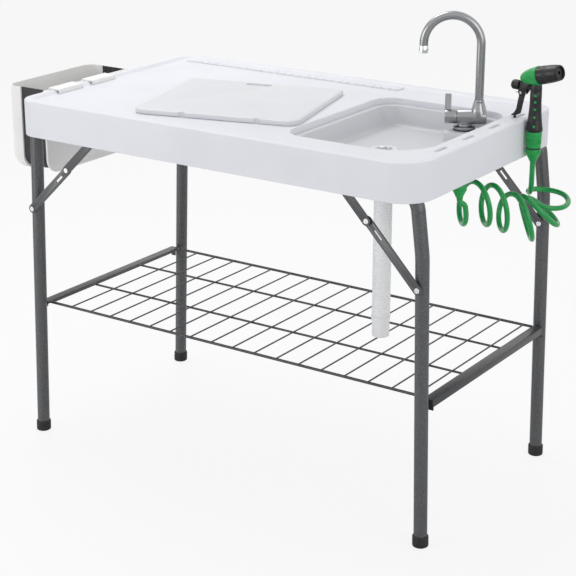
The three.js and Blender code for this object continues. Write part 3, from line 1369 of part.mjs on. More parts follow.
function gunBody() {
  const shell = barrel([
    [0, -GUN_BODY_LENGTH],
    [GUN_BODY_TAIL_RADIUS, -GUN_BODY_LENGTH],
    [GUN_BODY_RADIUS * 0.66, -GUN_BODY_LENGTH * 0.8],
    [GUN_BODY_RADIUS * 0.87, -GUN_BODY_LENGTH * 0.45],
    [GUN_BODY_RADIUS, -GUN_BODY_LENGTH * 0.1],
    [GUN_BODY_RADIUS, 0],
    [0, 0],
  ]);
  const neck = post(GUN_NECK_RADIUS, gunHandleTop + SEAT_GAP, GUN_AXIS_Z - GUN_NECK_RADIUS);
  const stem = lengthwise(
    KNOB_STEM_RADIUS,
    KNOB_X + KNOB_LENGTH + SEAT_GAP,
    KNOB_X + KNOB_LENGTH + KNOB_STEM_LENGTH,
    0,
    KNOB_Z,
  );
  const lugs = [-1, 1].map((side) => {
    const inner = (side * LUG_SPACE) / 2;
    const ys = [inner, inner + side * LUG_THICKNESS];
    const shape = polygon([
      [TRIGGER_PIN_X - LUG_RADIUS, TRIGGER_PIN_Z + LUG_RADIUS / 2],
      [TRIGGER_PIN_X - LUG_RADIUS / 2, TRIGGER_PIN_Z - LUG_RADIUS],
      [TRIGGER_PIN_X + LUG_RADIUS, TRIGGER_PIN_Z - LUG_RADIUS / 2],
      [-GUN_NECK_RADIUS, gunHandleTop + 2 * LUG_RADIUS],
      [-GUN_NECK_RADIUS, GUN_AXIS_Z - LUG_RADIUS],
      [TRIGGER_PIN_X + LUG_RADIUS, GUN_AXIS_Z - LUG_RADIUS],
    ]);
    return sidePlate(shape, Math.min(...ys), Math.max(...ys));
  });
  const hole = crosswise(
    holeRadius(TRIGGER_PIN_RADIUS, SEAT_GAP, SMALL_SIDES),
    -LUG_SPACE,
    LUG_SPACE,
    TRIGGER_PIN_X,
    TRIGGER_PIN_Z,
  );
  return cut(joined(shell, neck, stem, ...lugs), hole);
}

function gunNozzle() {
  const back = SEAT_GAP;
  const tip = back + NOZZLE_LENGTH;
  return barrel([
    [0, back],
    [NOZZLE_RADIUS, back],
    [NOZZLE_RADIUS, back + NOZZLE_LENGTH / 3],
    [(NOZZLE_RADIUS * 2 + NOZZLE_TIP_RADIUS) / 3, tip - 2 * NOZZLE_LIP],
    [NOZZLE_TIP_RADIUS, tip],
    [NOZZLE_TIP_RADIUS - NOZZLE_LIP, tip],
    [NOZZLE_TIP_RADIUS - NOZZLE_LIP, tip - NOZZLE_LIP],
    [NOZZLE_OUTLET_RADIUS, tip - NOZZLE_LIP],
    [NOZZLE_OUTLET_RADIUS, tip - 3 * NOZZLE_LIP],
    [0, tip - 3 * NOZZLE_LIP],
  ]);
}

function gunKnob() {
  const knob = turned([
    [0, 0],
    [KNOB_RADIUS - KNOB_BEVEL, 0],
    [KNOB_RADIUS, KNOB_BEVEL],
    [KNOB_RADIUS, KNOB_LENGTH],
    [0, KNOB_LENGTH],
  ]);
  return knob.rotateY(Math.PI / 2).translate(KNOB_X, 0, KNOB_Z);
}

const triggerFar = -(LUG_SPACE - SEAT_GAP - TRIGGER_THICKNESS - CLIP_THICKNESS) / 2 - TRIGGER_THICKNESS / 2;
const triggerNear = triggerFar + TRIGGER_THICKNESS;

function gunTrigger() {
  const half = TRIGGER_WIDTH / 2;
  const toeLow = RIM_HEIGHT + TOE_LIFT;
  const tongueLeft = -TONGUE_REACH;
  const tongueRight = tongueLeft + TONGUE_WIDTH;
  const heel = tongueRight + TRIGGER_WIDTH;
  const middleX = (TRIGGER_PIN_X + heel) / 2 - half / 2;
  const middleZ = (TRIGGER_PIN_Z + toeLow) / 2;
  const shape = polygon([
    [TRIGGER_PIN_X - half, TRIGGER_PIN_Z + half],
    [TRIGGER_PIN_X - half, TRIGGER_PIN_Z - half],
    [middleX - half, middleZ],
    [tongueLeft, toeLow + TOE_THICKNESS],
    [heel - TOE_LENGTH, toeLow + SEAT_GAP],
    [heel - TOE_LENGTH, toeLow],
    [tongueLeft, toeLow],
    [tongueLeft, RIM_HEIGHT - TONGUE_DEPTH],
    [tongueRight, RIM_HEIGHT - TONGUE_DEPTH],
    [tongueRight, toeLow],
    [heel, toeLow + half / 2],
    [middleX + half, middleZ],
    [TRIGGER_PIN_X + half, TRIGGER_PIN_Z - half],
    [TRIGGER_PIN_X + half, TRIGGER_PIN_Z + half],
  ]);
  const hole = crosswise(
    holeRadius(TRIGGER_PIN_RADIUS, SEAT_GAP, SMALL_SIDES),
    -LUG_SPACE,
    LUG_SPACE,
    TRIGGER_PIN_X,
    TRIGGER_PIN_Z,
  );
  return cut(sidePlate(shape, triggerFar, triggerNear), hole);
}

function gunTriggerPin() {
  const half = LUG_SPACE / 2 + LUG_THICKNESS + TRIGGER_PIN_END;
  return crosswise(TRIGGER_PIN_RADIUS, -half, half, TRIGGER_PIN_X, TRIGGER_PIN_Z);
}

function gunLockClip() {
  const near = triggerNear + SEAT_GAP;
  const half = CLIP_HEIGHT / 2;
  const left = TRIGGER_PIN_X - CLIP_REACH;
  const right = TRIGGER_PIN_X + TRIGGER_WIDTH / 2;
  const shape = polygon([
    [right, TRIGGER_PIN_Z + 2 * half],
    [TRIGGER_PIN_X - half, TRIGGER_PIN_Z + 2 * half],
    [left + half, TRIGGER_PIN_Z + half / 2],
    [left, TRIGGER_PIN_Z + half],
    [left, TRIGGER_PIN_Z - half],
    [TRIGGER_PIN_X - half, TRIGGER_PIN_Z - 2 * half],
    [right, TRIGGER_PIN_Z - 2 * half],
  ]);
  const hole = crosswise(
    holeRadius(TRIGGER_PIN_RADIUS, SEAT_GAP, SMALL_SIDES),
    -LUG_SPACE,
    LUG_SPACE,
    TRIGGER_PIN_X,
    TRIGGER_PIN_Z,
  );
  return cut(sidePlate(shape, near, near + CLIP_THICKNESS), hole);
}

// Bin: one rounded tub, parted across into a back plate with hooks, a flexible band and an outer shell

const binBackPlane = topLeft - SEAT_GAP;
const binOuterPlane = binBackPlane - BIN_DEPTH;
const bandBack = binBackPlane - BIN_BACK_DEPTH - SEAT_GAP;
const shellBack = binOuterPlane + BIN_SHELL_DEPTH;

function tubLevels(inset, bottom) {
  const levels = Array.from({ length: BIN_EDGE_STEPS + 1 }, (_, step) => {
    const angle = ((Math.PI / 2) * step) / BIN_EDGE_STEPS;
    return [inset + BIN_EDGE * (1 - Math.sin(angle)), bottom + BIN_EDGE * (1 - Math.cos(angle))];
  });
  return [...levels, [inset, BIN_TOP_Z]];
}

// The tub stands past the back plane, so that its rounded edge stays on the outer and end sides
function tub(inset) {
  const outline = roundedRectangle(binOuterPlane, binBackPlane + 2 * BIN_EDGE, BIN_FRONT, BIN_REAR, [
    BIN_CORNER,
    BIN_CORNER,
    BIN_CORNER,
    BIN_CORNER,
  ]);
  const outside = stacked(outline, tubLevels(inset, BIN_BOTTOM_Z + inset));
  const inside = stacked(outline, [
    ...tubLevels(inset + BIN_WALL, BIN_BOTTOM_Z + inset + BIN_WALL),
    [inset + BIN_WALL, BIN_TOP_Z + CUT_OVERRUN],
  ]);
  return { outside, shell: cut(outside, inside) };
}

function acrossBin(x0, x1) {
  return block(x0, x1, BIN_FRONT - CUT_OVERRUN, BIN_REAR + CUT_OVERRUN, BIN_BOTTOM_Z - CUT_OVERRUN, BIN_TOP_Z + CUT_OVERRUN);
}

function binShell() {
  return kept(tub(0).shell, acrossBin(binOuterPlane - CUT_OVERRUN, shellBack));
}

function binFoldBand() {
  return kept(tub(BIN_GAP).shell, acrossBin(shellBack + SEAT_GAP, bandBack));
}

function binBack() {
  const plate = kept(tub(0).outside, acrossBin(binBackPlane - BIN_BACK_DEPTH, binBackPlane));
  const hookTop = RIM_HEIGHT + SEAT_GAP + BIN_HOOK_THICKNESS;
  const under = RIM_HEIGHT + SEAT_GAP;
  const lipLeft = topLeft + deckInset + SEAT_GAP;
  const shape = polygon([
    [binBackPlane - BIN_BACK_DEPTH, BIN_TOP_Z - CUT_OVERRUN],
    [binBackPlane, BIN_TOP_Z - CUT_OVERRUN],
    [binBackPlane, under],
    [lipLeft, under],
    [lipLeft, deckTop + SEAT_GAP],
    [lipLeft + BIN_HOOK_LIP, deckTop + SEAT_GAP],
    [lipLeft + BIN_HOOK_LIP, hookTop],
    [binBackPlane - BIN_BACK_DEPTH, hookTop],
  ]);
  const hooks = BIN_HOOK_OFFSETS.map((offset) => {
    const start = BIN_FRONT + offset;
    return sidePlate(shape, start, start + BIN_HOOK_WIDTH);
  });
  return joined(plate, ...hooks);
}

// The table put together

const table = group(
  piece("table_top", tableTop(), WHITE_PLASTIC),
  piece("sink_basin", sinkBasin(), WHITE_PLASTIC),
  piece("shelf_grid", shelfGrid(), DARK_STEEL),
);

const ends = { front: -1, rear: 1 };
for (const [side, leg] of Object.entries(legs)) {
  table.add(piece(`leg_frame_${side}`, legFrame(leg), HAMMERED_STEEL));
  table.add(piece(`shelf_end_bar_${side}`, shelfEndBar(leg), DARK_STEEL));
  for (const [place, end] of Object.entries(ends)) {
    table.add(
      piece(`foot_cap_${side}_${place}`, footCap(leg, end), BLACK_RUBBER),
      piece(`pivot_block_${side}_${place}`, pivotBlock(leg, end), BLACK_PLASTIC),
      piece(`brace_lower_${side}_${place}`, lowerLink(leg, end), ZINC_STEEL),
      piece(`brace_upper_${side}_${place}`, upperLink(leg, end), ZINC_STEEL),
      piece(`brace_anchor_${side}_${place}`, braceAnchor(leg, end), ZINC_STEEL),
      piece(`shelf_hook_${side}_${place}`, shelfHook(leg, end), DARK_STEEL),
    );
  }
}

const board = piece("cutting_board", cuttingBoard(), BOARD_PLASTIC);
board.position.set(BOARD_X, BOARD_Y, deckTop + SEAT_GAP);
board.rotation.z = BOARD_TURN;
table.add(board);

const tap = group(
  piece("faucet_gasket", tapGasket(), BLACK_RUBBER),
  piece("faucet_body", tapBody(), BRUSHED_STEEL),
  piece("faucet_nut", tapNut(), BLACK_PLASTIC),
  piece("faucet_spout", tapSpout(), BRUSHED_STEEL),
  piece("faucet_aerator", aerator(), CHROME),
  piece("faucet_lever", tapLever(), BRUSHED_STEEL),
);
tap.position.set(TAP_X, TAP_Y, 0);
tap.rotation.z = TAP_TURN;
table.add(tap);

const drain = group(
  piece("drain_body", drainBody(), WHITE_PLASTIC),
  piece("drain_locknut", drainLocknut(), BLACK_PLASTIC),
  piece("drain_basket", drainBasket(), CHROME),
);
const drainHose = group(
  piece("drain_hose", ribbedHose(CUFF_TOP_Z, HOSE_TOP_Z), GREY_HOSE),
  piece("drain_hose_cuff", hoseCuff(), GREY_HOSE),
);
drain.add(drainHose);
drain.position.set(DRAIN_X, DRAIN_Y, 0);
table.add(drain);

const supply = group(
  piece("hose_spigot", hoseSpigot(), BLACK_PLASTIC),
  piece("hose_connector", hoseConnector(), GREEN_PLASTIC),
);
supply.position.set(SPIGOT_X, SPIGOT_Y, 0);
const curlyHose = piece("curly_hose", bar(curlyPoints, CURLY_RADIUS, CURLY_SIDES), GREEN_HOSE);
table.add(supply, curlyHose);

const gun = group(
  piece("gun_connector", gunConnector(), GREEN_PLASTIC),
  piece("gun_seal_ring", post(GUN_RING_RADIUS, gunRingBottom, gunRingBottom + GUN_RING_HEIGHT), BLACK_RUBBER),
  piece("gun_collar", post(GUN_COLLAR_RADIUS, gunCollarBottom, gunCollarBottom + GUN_COLLAR_HEIGHT), GREEN_PLASTIC),
  piece("gun_handle", gunHandle(), BLACK_PLASTIC),
  piece("gun_body", gunBody(), GREEN_PLASTIC),
  piece("gun_nozzle", gunNozzle(), BLACK_PLASTIC),
  piece("gun_knob", gunKnob(), BLACK_PLASTIC),
  piece("gun_trigger", gunTrigger(), BLACK_PLASTIC),
  piece("gun_trigger_pin", gunTriggerPin(), CHROME),
  piece("gun_lock_clip", gunLockClip(), BLACK_PLASTIC),
);
gun.position.set(GUN_X, GUN_Y, 0);
gun.rotation.z = GUN_TURN;
table.add(gun);

table.add(
  piece("bin_shell", binShell(), BEIGE_PLASTIC),
  piece("bin_fold_band", binFoldBand(), BLACK_RUBBER),
  piece("bin_back", binBack(), BEIGE_PLASTIC),
);

// The origin stands on the floor under the middle of everything but the hoses
const withoutHoses = new THREE.Box3();
table.updateMatrixWorld(true);
table.traverse((member) => {
  if (member.isMesh && member !== curlyHose && member.parent !== drainHose) withoutHoses.expandByObject(member, true);
});
const middle = withoutHoses.getCenter(new THREE.Vector3());
table.position.set(-middle.x, -middle.y, -withoutHoses.min.z);

export default group(table);
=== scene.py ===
"""Dresses the fish cleaning table: its moulded top, sink, folding legs, shelf, tap, hoses, gun and bin."""

from __future__ import annotations

import logging
import math
from dataclasses import dataclass, field
from enum import Enum
from functools import lru_cache
from typing import Any, Iterable, Sequence

import bmesh
import bpy
from mathutils import Matrix, Vector


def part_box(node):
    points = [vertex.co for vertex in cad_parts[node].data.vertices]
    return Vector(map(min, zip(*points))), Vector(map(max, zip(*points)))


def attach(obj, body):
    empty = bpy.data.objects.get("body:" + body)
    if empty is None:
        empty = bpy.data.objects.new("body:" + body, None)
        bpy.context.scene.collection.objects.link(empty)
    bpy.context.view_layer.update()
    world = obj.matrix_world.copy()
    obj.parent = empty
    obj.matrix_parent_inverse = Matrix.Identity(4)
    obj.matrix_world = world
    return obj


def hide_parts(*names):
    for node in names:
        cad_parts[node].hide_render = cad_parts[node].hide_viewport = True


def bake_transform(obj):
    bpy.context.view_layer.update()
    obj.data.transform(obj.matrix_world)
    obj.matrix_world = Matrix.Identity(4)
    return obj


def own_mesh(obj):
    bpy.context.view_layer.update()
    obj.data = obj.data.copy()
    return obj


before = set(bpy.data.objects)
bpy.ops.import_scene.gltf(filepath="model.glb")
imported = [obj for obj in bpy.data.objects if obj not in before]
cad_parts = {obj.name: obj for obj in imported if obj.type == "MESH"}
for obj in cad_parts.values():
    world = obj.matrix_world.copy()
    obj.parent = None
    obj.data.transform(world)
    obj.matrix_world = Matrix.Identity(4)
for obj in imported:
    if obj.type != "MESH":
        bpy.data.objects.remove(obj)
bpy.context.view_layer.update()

LOG = logging.getLogger("fish_table")
Point = tuple[float, float, float]
Profile = Sequence[tuple[float, float]]
MM = 0.001

# Half the length of the table's top, in millimetres, and where its middle stands in the frame, in metres.
HALF_LENGTH = 573.0
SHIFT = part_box("table_top")[0].x + HALF_LENGTH * MM

# Places in millimetres that several pieces share: the flat under the deck, the drain and the water inlet.
UNDER_DECK = 898.7
DRAIN_PLACE = (299.0, -23.0)
INLET_PLACE = (547.0, -105.0)


def metres(x: float, y: float, z: float) -> Vector:
    """Turns a point of the table, in millimetres, into the frame's metres.

    Args:
        x: Place along the table.
        y: Place across the table.
        z: Height.

    Returns:
        The point in metres.
    """
    return Vector((x * MM + SHIFT, y * MM, z * MM))


class Side(Enum):
    """The two ends of the table."""

    LEFT = "left"
    RIGHT = "right"


class End(Enum):
    """The two long sides of the table."""

    FRONT = "front"
    REAR = "rear"

    @property
    def sign(self) -> int:
        """Gives -1 at the front and 1 at the rear."""
        return -1 if self is End.FRONT else 1


class Level(Enum):
    """The two links of a brace."""

    LOWER = "lower"
    UPPER = "upper"


class Axis(Enum):
    """The axes that a shape is turned about."""

    X = "X"
    Y = "Y"
    Z = "Z"


class Join(Enum):
    """What a second shape does to a piece: it is cut out, added, or only what both share is kept."""

    CUT = "DIFFERENCE"
    ADD = "UNION"
    KEEP = "INTERSECT"


# Shader maths


class Value:
    """A socket that carries numbers, with the usual operators."""

    def __init__(self, graph: Graph, socket: bpy.types.NodeSocket) -> None:
        """Keeps the socket and the graph it belongs to.

        Args:
            graph: The graph that new nodes go to.
            socket: The output socket.
        """
        self.graph = graph
        self.socket = socket

    def _math(self, operation: str, first: Any, second: Any) -> Value:
        """Adds a Math node.

        Args:
            operation: The node's operation.
            first: Its first value or link.
            second: Its second value or link.

        Returns:
            The result.
        """
        return self.graph.node("ShaderNodeMath", {"operation": operation}, {0: first, 1: second})

    def __add__(self, other: Any) -> Value:
        """Adds."""
        return self._math("ADD", self, other)

    __radd__ = __add__

    def __sub__(self, other: Any) -> Value:
        """Subtracts."""
        return self._math("SUBTRACT", self, other)

    def __rsub__(self, other: Any) -> Value:
        """Subtracts from a number."""
        return self._math("SUBTRACT", other, self)

    def __mul__(self, other: Any) -> Value:
        """Multiplies."""
        return self._math("MULTIPLY", self, other)

    __rmul__ = __mul__

    def most(self, other: Any) -> Value:
        """Takes the greater of two values."""
        return self._math("MAXIMUM", self, other)

    def step(self, low: float, high: float) -> Value:
        """Turns values between two limits smoothly into 0 to 1.

        Args:
            low: The value that gives 0.
            high: The value that gives 1.

        Returns:
            The mask.
        """
        limits = {"Value": self, "From Min": low, "From Max": high}
        return self.graph.node("ShaderNodeMapRange", {"interpolation_type": "SMOOTHSTEP"}, limits)


class Graph:
    """The nodes of one material, or of the sky."""

    def __init__(self, name: str, tree: bpy.types.NodeTree | None = None) -> None:
        """Starts an empty graph.

        Args:
            name: The material's name.
            tree: The sky's nodes; without them a new material is made.
        """
        self.output = "ShaderNodeOutputWorld"
        if tree is None:
            self.output = "ShaderNodeOutputMaterial"
            self.material = bpy.data.materials.new(name)
            self.material.use_nodes = True
            tree = self.material.node_tree
        self.tree = tree
        self.tree.nodes.clear()

    def _fill(self, socket: bpy.types.NodeSocket, value: Any) -> None:
        """Links a socket, or sets its number or colour.

        Args:
            socket: The input socket.
            value: A Value, a socket, a number or a colour.
        """
        if isinstance(value, Value):
            self.tree.links.new(value.socket, socket)
        elif isinstance(value, bpy.types.NodeSocket):
            self.tree.links.new(value, socket)
        elif isinstance(value, tuple) and len(value) == 3 and socket.type == "RGBA":
            socket.default_value = (*value, 1.0)
        else:
            socket.default_value = value

    def node(self, kind: str, settings: dict[str, Any] | None = None, inputs: dict[Any, Any] | None = None,
             output: Any = 0) -> Value:
        """Adds a node.

        Args:
            kind: The node's type.
            settings: Its options, set first.
            inputs: The values or links of its sockets, by name or number.
            output: The output socket to hand back.

        Returns:
            The chosen output. An output node has none and gives its input.
        """
        made = self.tree.nodes.new(kind)
        for name, setting in (settings or {}).items():
            setattr(made, name, setting)
        for name, value in (inputs or {}).items():
            self._fill(made.inputs[name], value)
        return Value(self, (made.outputs or made.inputs)[output])

    def places(self) -> Value:
        """Gives the piece's own coordinates, in metres."""
        return self.node("ShaderNodeTexCoord", output="Object")

    def noise(self, scale: float, detail: float = 3.0, stretch: Point = (1, 1, 1),
              roughness: float = 0.5) -> Value:
        """Adds a cloudy noise.

        Args:
            scale: Spots per metre.
            detail: Its finer layers.
            stretch: How much finer it is along each axis.
            roughness: The weight of the finer layers.

        Returns:
            The noise, about 0 to 1.
        """
        where = self.node("ShaderNodeVectorMath", {"operation": "MULTIPLY"}, {0: self.places(), 1: stretch})
        return self.node("ShaderNodeTexNoise", None,
                         {"Vector": where, "Scale": scale, "Detail": detail, "Roughness": roughness})

    def cells(self, scale: float) -> Value:
        """Adds a pattern of cells with soft edges.

        Args:
            scale: Cells per metre.

        Returns:
            The distance to each cell's middle.
        """
        return self.node("ShaderNodeTexVoronoi", {"feature": "SMOOTH_F1"},
                         {"Vector": self.places(), "Scale": scale})

    def mix(self, factor: Any, first: Any, second: Any) -> Value:
        """Mixes two colours.

        Args:
            factor: The share of the second.
            first: The first colour.
            second: The second colour.

        Returns:
            The mixed colour.
        """
        return self.node("ShaderNodeMix", {"data_type": "RGBA"}, {0: factor, 6: first, 7: second}, 2)

    def height(self) -> Value:
        """Gives the height of each point, in metres."""
        return self.node("ShaderNodeSeparateXYZ", None, {0: self.places()}, 2)

    def bump(self, relief: Value, depth: float, strength: float) -> Value:
        """Turns a relief into a normal.

        Args:
            relief: The relief, 0 to 1.
            depth: Its depth in metres.
            strength: How much of it shows.

        Returns:
            The normal.
        """
        return self.node("ShaderNodeBump", None, {"Height": relief, "Distance": depth, "Strength": strength})

    def surface(self, **sockets: Any) -> bpy.types.Material:
        """Ends the graph in a Principled shader.

        Args:
            **sockets: Values of the shader's sockets, with underscores for blanks.

        Returns:
            The material.
        """
        named = {name.replace("_", " "): value for name, value in sockets.items()}
        self.end(self.node("ShaderNodeBsdfPrincipled", None, named))
        return self.material

    def end(self, shader: Value) -> None:
        """Sends a shader to the surface."""
        self.node(self.output, None, {"Surface": shader})


# Finishes


@dataclass(frozen=True)
class Finish:
    """A finish: its name, the record's slot, two colours, its roughness, and its grain's depth and scale."""

    name: str
    slot: str
    colour: Point
    shade: Point
    roughness: float = 0.45
    relief: float = 0.0001
    scale: float = 400.0

    def material(self) -> bpy.types.Material:
        """Makes the material.

        Returns:
            The material.
        """
        raise NotImplementedError


@dataclass(frozen=True)
class MouldedPlastic(Finish):
    """Moulded plastic with a fine leathery grain, faint flow clouds and small scuffs."""

    cloud_scale: float = 5.0
    cloud_share: float = 0.45
    scuff_scale: float = 38.0
    scuff_stretch: Point = (1.0, 0.25, 1.0)
    scuff_share: float = 0.105
    gloss: float = 0.45

    @lru_cache(maxsize=None)
    def material(self) -> bpy.types.Material:
        """Makes the material.

        Returns:
            The material.
        """
        graph = Graph(self.name)
        clouds = graph.noise(self.cloud_scale, 4.0).step(0.35, 0.7)
        scuffs = graph.noise(self.scuff_scale, 6.0, self.scuff_stretch, 0.7).step(0.62, 0.75)
        grain = graph.cells(self.scale) * 0.6 + graph.noise(self.scale * 1.7, 2.0) * 0.4
        colour = graph.mix(clouds * self.cloud_share + scuffs * self.scuff_share, self.colour, self.shade)
        rough = self.roughness + clouds * 0.06 + scuffs * 0.12
        return graph.surface(Base_Color=colour, Roughness=rough, Normal=graph.bump(grain, self.relief, 0.6),
                             Specular_IOR_Level=self.gloss)


@dataclass(frozen=True)
class BoardPlastic(Finish):
    """Cutting plastic with many fine knife marks."""

    along_stretch: Point = (0.15, 3.0, 1.0)
    askew_stretch: Point = (2.6, 0.2, 1.0)
    mark_share: float = 0.22
    mark_depth: float = 0.8

    @lru_cache(maxsize=None)
    def material(self) -> bpy.types.Material:
        """Makes the material.

        Returns:
            The material.
        """
        graph = Graph(self.name)
        along = graph.noise(60.0, 5.0, self.along_stretch, 0.75).step(0.6, 0.68)
        askew = graph.noise(55.0, 5.0, self.askew_stretch, 0.75).step(0.63, 0.7)
        marks = along.most(askew)
        clouds = graph.noise(7.0, 3.0).step(0.3, 0.75)
        colour = graph.mix(clouds * 0.4 + marks * self.mark_share, self.colour, self.shade)
        grain = graph.noise(self.scale, 3.0) - marks * self.mark_depth
        return graph.surface(Base_Color=colour, Roughness=self.roughness + marks * 0.15,
                             Normal=graph.bump(grain, self.relief, 0.5))


@dataclass(frozen=True)
class HammeredPaint(Finish):
    """Paint that dried into small dimples, with pale specks between them."""

    metallic: float = 0.35
    coat: float = 0.25
    coat_roughness: float = 0.2

    @lru_cache(maxsize=None)
    def material(self) -> bpy.types.Material:
        """Makes the material.

        Returns:
            The material.
        """
        graph = Graph(self.name)
        dimples = graph.cells(self.scale)
        veins = dimples.step(0.3, 0.62)
        fine = graph.noise(self.scale * 2.5, 3.0)
        colour = graph.mix(veins * 0.75 + fine * 0.2, self.colour, self.shade)
        return graph.surface(Base_Color=colour, Metallic=self.metallic,
                             Roughness=self.roughness + veins * 0.12,
                             Coat_Weight=self.coat, Coat_Roughness=self.coat_roughness,
                             Normal=graph.bump(dimples, self.relief, 0.8))


@dataclass(frozen=True)
class Metal(Finish):
    """Bare or plated metal with fine drawn lines and a faint haze."""

    stretch: Point = (1.0, 1.0, 0.05)

    @lru_cache(maxsize=None)
    def material(self) -> bpy.types.Material:
        """Makes the material.

        Returns:
            The material.
        """
        graph = Graph(self.name)
        lines = graph.noise(self.scale, 4.0, self.stretch, 0.6)
        haze = graph.noise(14.0, 3.0).step(0.3, 0.75)
        colour = graph.mix(lines * 0.35 + haze * 0.25, self.colour, self.shade)
        return graph.surface(Base_Color=colour, Metallic=1.0, Roughness=self.roughness + haze * 0.08,
                             Normal=graph.bump(lines, self.relief, 0.35))


@dataclass(frozen=True)
class Rubber(Finish):
    """Dark rubber, dusty towards its lower edge."""

    dust_height: float = 0.0

    @lru_cache(maxsize=None)
    def material(self) -> bpy.types.Material:
        """Makes the material.

        Returns:
            The material.
        """
        graph = Graph(self.name)
        grain = graph.noise(self.scale, 5.0)
        dust = graph.noise(90.0, 5.0).step(0.45, 0.8)
        if self.dust_height > 0:
            dust = dust * (1 - graph.height().step(0.0, self.dust_height))
        colour = graph.mix(dust * 0.45, self.colour, self.shade)
        return graph.surface(Base_Color=colour, Roughness=self.roughness + dust * 0.1,
                             Normal=graph.bump(grain, self.relief, 0.6))


@dataclass(frozen=True)
class GlossPlastic(Finish):
    """Shiny coloured plastic with a soft orange-peel and small rubbed places."""

    coat: float = 0.15
    coat_roughness: float = 0.15
    gloss: float = 0.35

    @lru_cache(maxsize=None)
    def material(self) -> bpy.types.Material:
        """Makes the material.

        Returns:
            The material.
        """
        graph = Graph(self.name)
        peel = graph.noise(self.scale, 2.0)
        rubbed = graph.noise(60.0, 5.0).step(0.5, 0.8)
        colour = graph.mix(rubbed * 0.35 + peel * 0.15, self.colour, self.shade)
        return graph.surface(Base_Color=colour, Roughness=self.roughness + rubbed * 0.12,
                             Coat_Weight=self.coat, Coat_Roughness=self.coat_roughness,
                             Specular_IOR_Level=self.gloss, Normal=graph.bump(peel, self.relief, 0.4))


WHITE = MouldedPlastic("moulded_white", "white_plastic", (0.82, 0.83, 0.88), (0.74, 0.755, 0.80),
                       roughness=0.42, relief=0.00006, scale=900)
BIN_SHELL = MouldedPlastic("moulded_bin", "beige_plastic", (0.93, 0.925, 0.915), (0.85, 0.84, 0.83),
                           roughness=0.48, relief=0.00008, scale=800)
# The basin is the same white plastic as the top, painted darker: its grey is painted shade for the shade
# inside the sink's recess.
BASIN_PAINTED_SHADE = MouldedPlastic("moulded_basin_painted_shade", "white_plastic", (0.68, 0.69, 0.72), (0.60, 0.61, 0.64),
                       roughness=0.36, relief=0.00004, scale=900)
HOSE_PALE = MouldedPlastic("pale_hose", "grey_hose", (0.93, 0.935, 0.95), (0.84, 0.85, 0.87),
                           roughness=0.34, relief=0.00005, scale=700)
BOARD = BoardPlastic("cutting_plastic", "board_plastic", (0.75, 0.755, 0.785), (0.66, 0.67, 0.70),
                     roughness=0.4, relief=0.00012, scale=500)
LEGS = HammeredPaint("hammered_grey", "hammered_steel", (0.072, 0.074, 0.077), (0.125, 0.128, 0.133),
                     roughness=0.32, relief=0.0003, scale=420)
WIRES = HammeredPaint("coated_wire", "dark_steel", (0.028, 0.028, 0.031), (0.075, 0.076, 0.08),
                      roughness=0.38, relief=0.0002, scale=500)
ZINC = Metal("plated_links", "zinc_steel", (0.13, 0.132, 0.137), (0.085, 0.087, 0.09),
             roughness=0.4, relief=0.00006, scale=260, stretch=(1.0, 1.0, 0.3))
RIVET = Metal("bright_rivets", "zinc_steel", (0.72, 0.73, 0.745), (0.5, 0.51, 0.525),
              roughness=0.24, relief=0.00002, scale=500)
BRUSHED = Metal("brushed_tap", "brushed_steel", (0.34, 0.345, 0.352), (0.22, 0.224, 0.23),
                roughness=0.22, relief=0.00005, scale=900, stretch=(1.0, 1.0, 0.04))
CHROME = Metal("bright_plate", "chrome", (0.78, 0.79, 0.81), (0.62, 0.63, 0.65),
               roughness=0.1, relief=0.00001, scale=300)
FOOT_RUBBER = Rubber("foot_rubber", "black_rubber", (0.012, 0.012, 0.013), (0.10, 0.095, 0.088),
                     roughness=0.62, relief=0.0002, scale=700, dust_height=0.02)
BAND_RUBBER = Rubber("band_rubber", "black_rubber", (0.022, 0.022, 0.024), (0.07, 0.07, 0.072),
                     roughness=0.55, relief=0.00012, scale=600)
BLACK = GlossPlastic("black_plastic", "black_plastic", (0.007, 0.007, 0.008), (0.024, 0.0245, 0.026),
                     roughness=0.36, relief=0.0001, scale=420)
GREEN = GlossPlastic("green_plastic", "green_plastic", (0.008, 0.36, 0.075), (0.005, 0.27, 0.055),
                     roughness=0.26, relief=0.0001, scale=300)
HOSE_GREEN = GlossPlastic("green_hose", "green_hose", (0.008, 0.34, 0.075), (0.004, 0.22, 0.045),
                          roughness=0.24, relief=0.0002, scale=150)


# Shapes


@dataclass
class Shape:
    """Points in millimetres and the faces between them."""

    points: list[Vector] = field(default_factory=list)
    faces: list[tuple[int, ...]] = field(default_factory=list)

    def __add__(self, other: Shape) -> Shape:
        """Puts two shapes side by side in one."""
        offset = len(self.points)
        faces = self.faces + [tuple(i + offset for i in face) for face in other.faces]
        return Shape(self.points + other.points, faces)

    def changed(self, matrix: Matrix) -> Shape:
        """Moves or turns the shape.

        Args:
            matrix: The move, in millimetres.

        Returns:
            The moved shape.
        """
        return Shape([matrix @ point for point in self.points], self.faces)

    def moved(self, x: float, y: float, z: float) -> Shape:
        """Moves the shape.

        Args:
            x: Along the table.
            y: Across it.
            z: Upwards.

        Returns:
            The moved shape.
        """
        return self.changed(Matrix.Translation((x, y, z)))

    def rotated(self, degrees: float, axis: Axis) -> Shape:
        """Turns the shape about an axis through the origin.

        Args:
            degrees: The turn.
            axis: The axis.

        Returns:
            The turned shape.
        """
        return self.changed(Matrix.Rotation(math.radians(degrees), 4, axis.value))


def total(shapes: Iterable[Shape]) -> Shape:
    """Puts several shapes in one.

    Args:
        shapes: The shapes.

    Returns:
        All of them.
    """
    out = Shape()
    for shape in shapes:
        out = out + shape
    return out


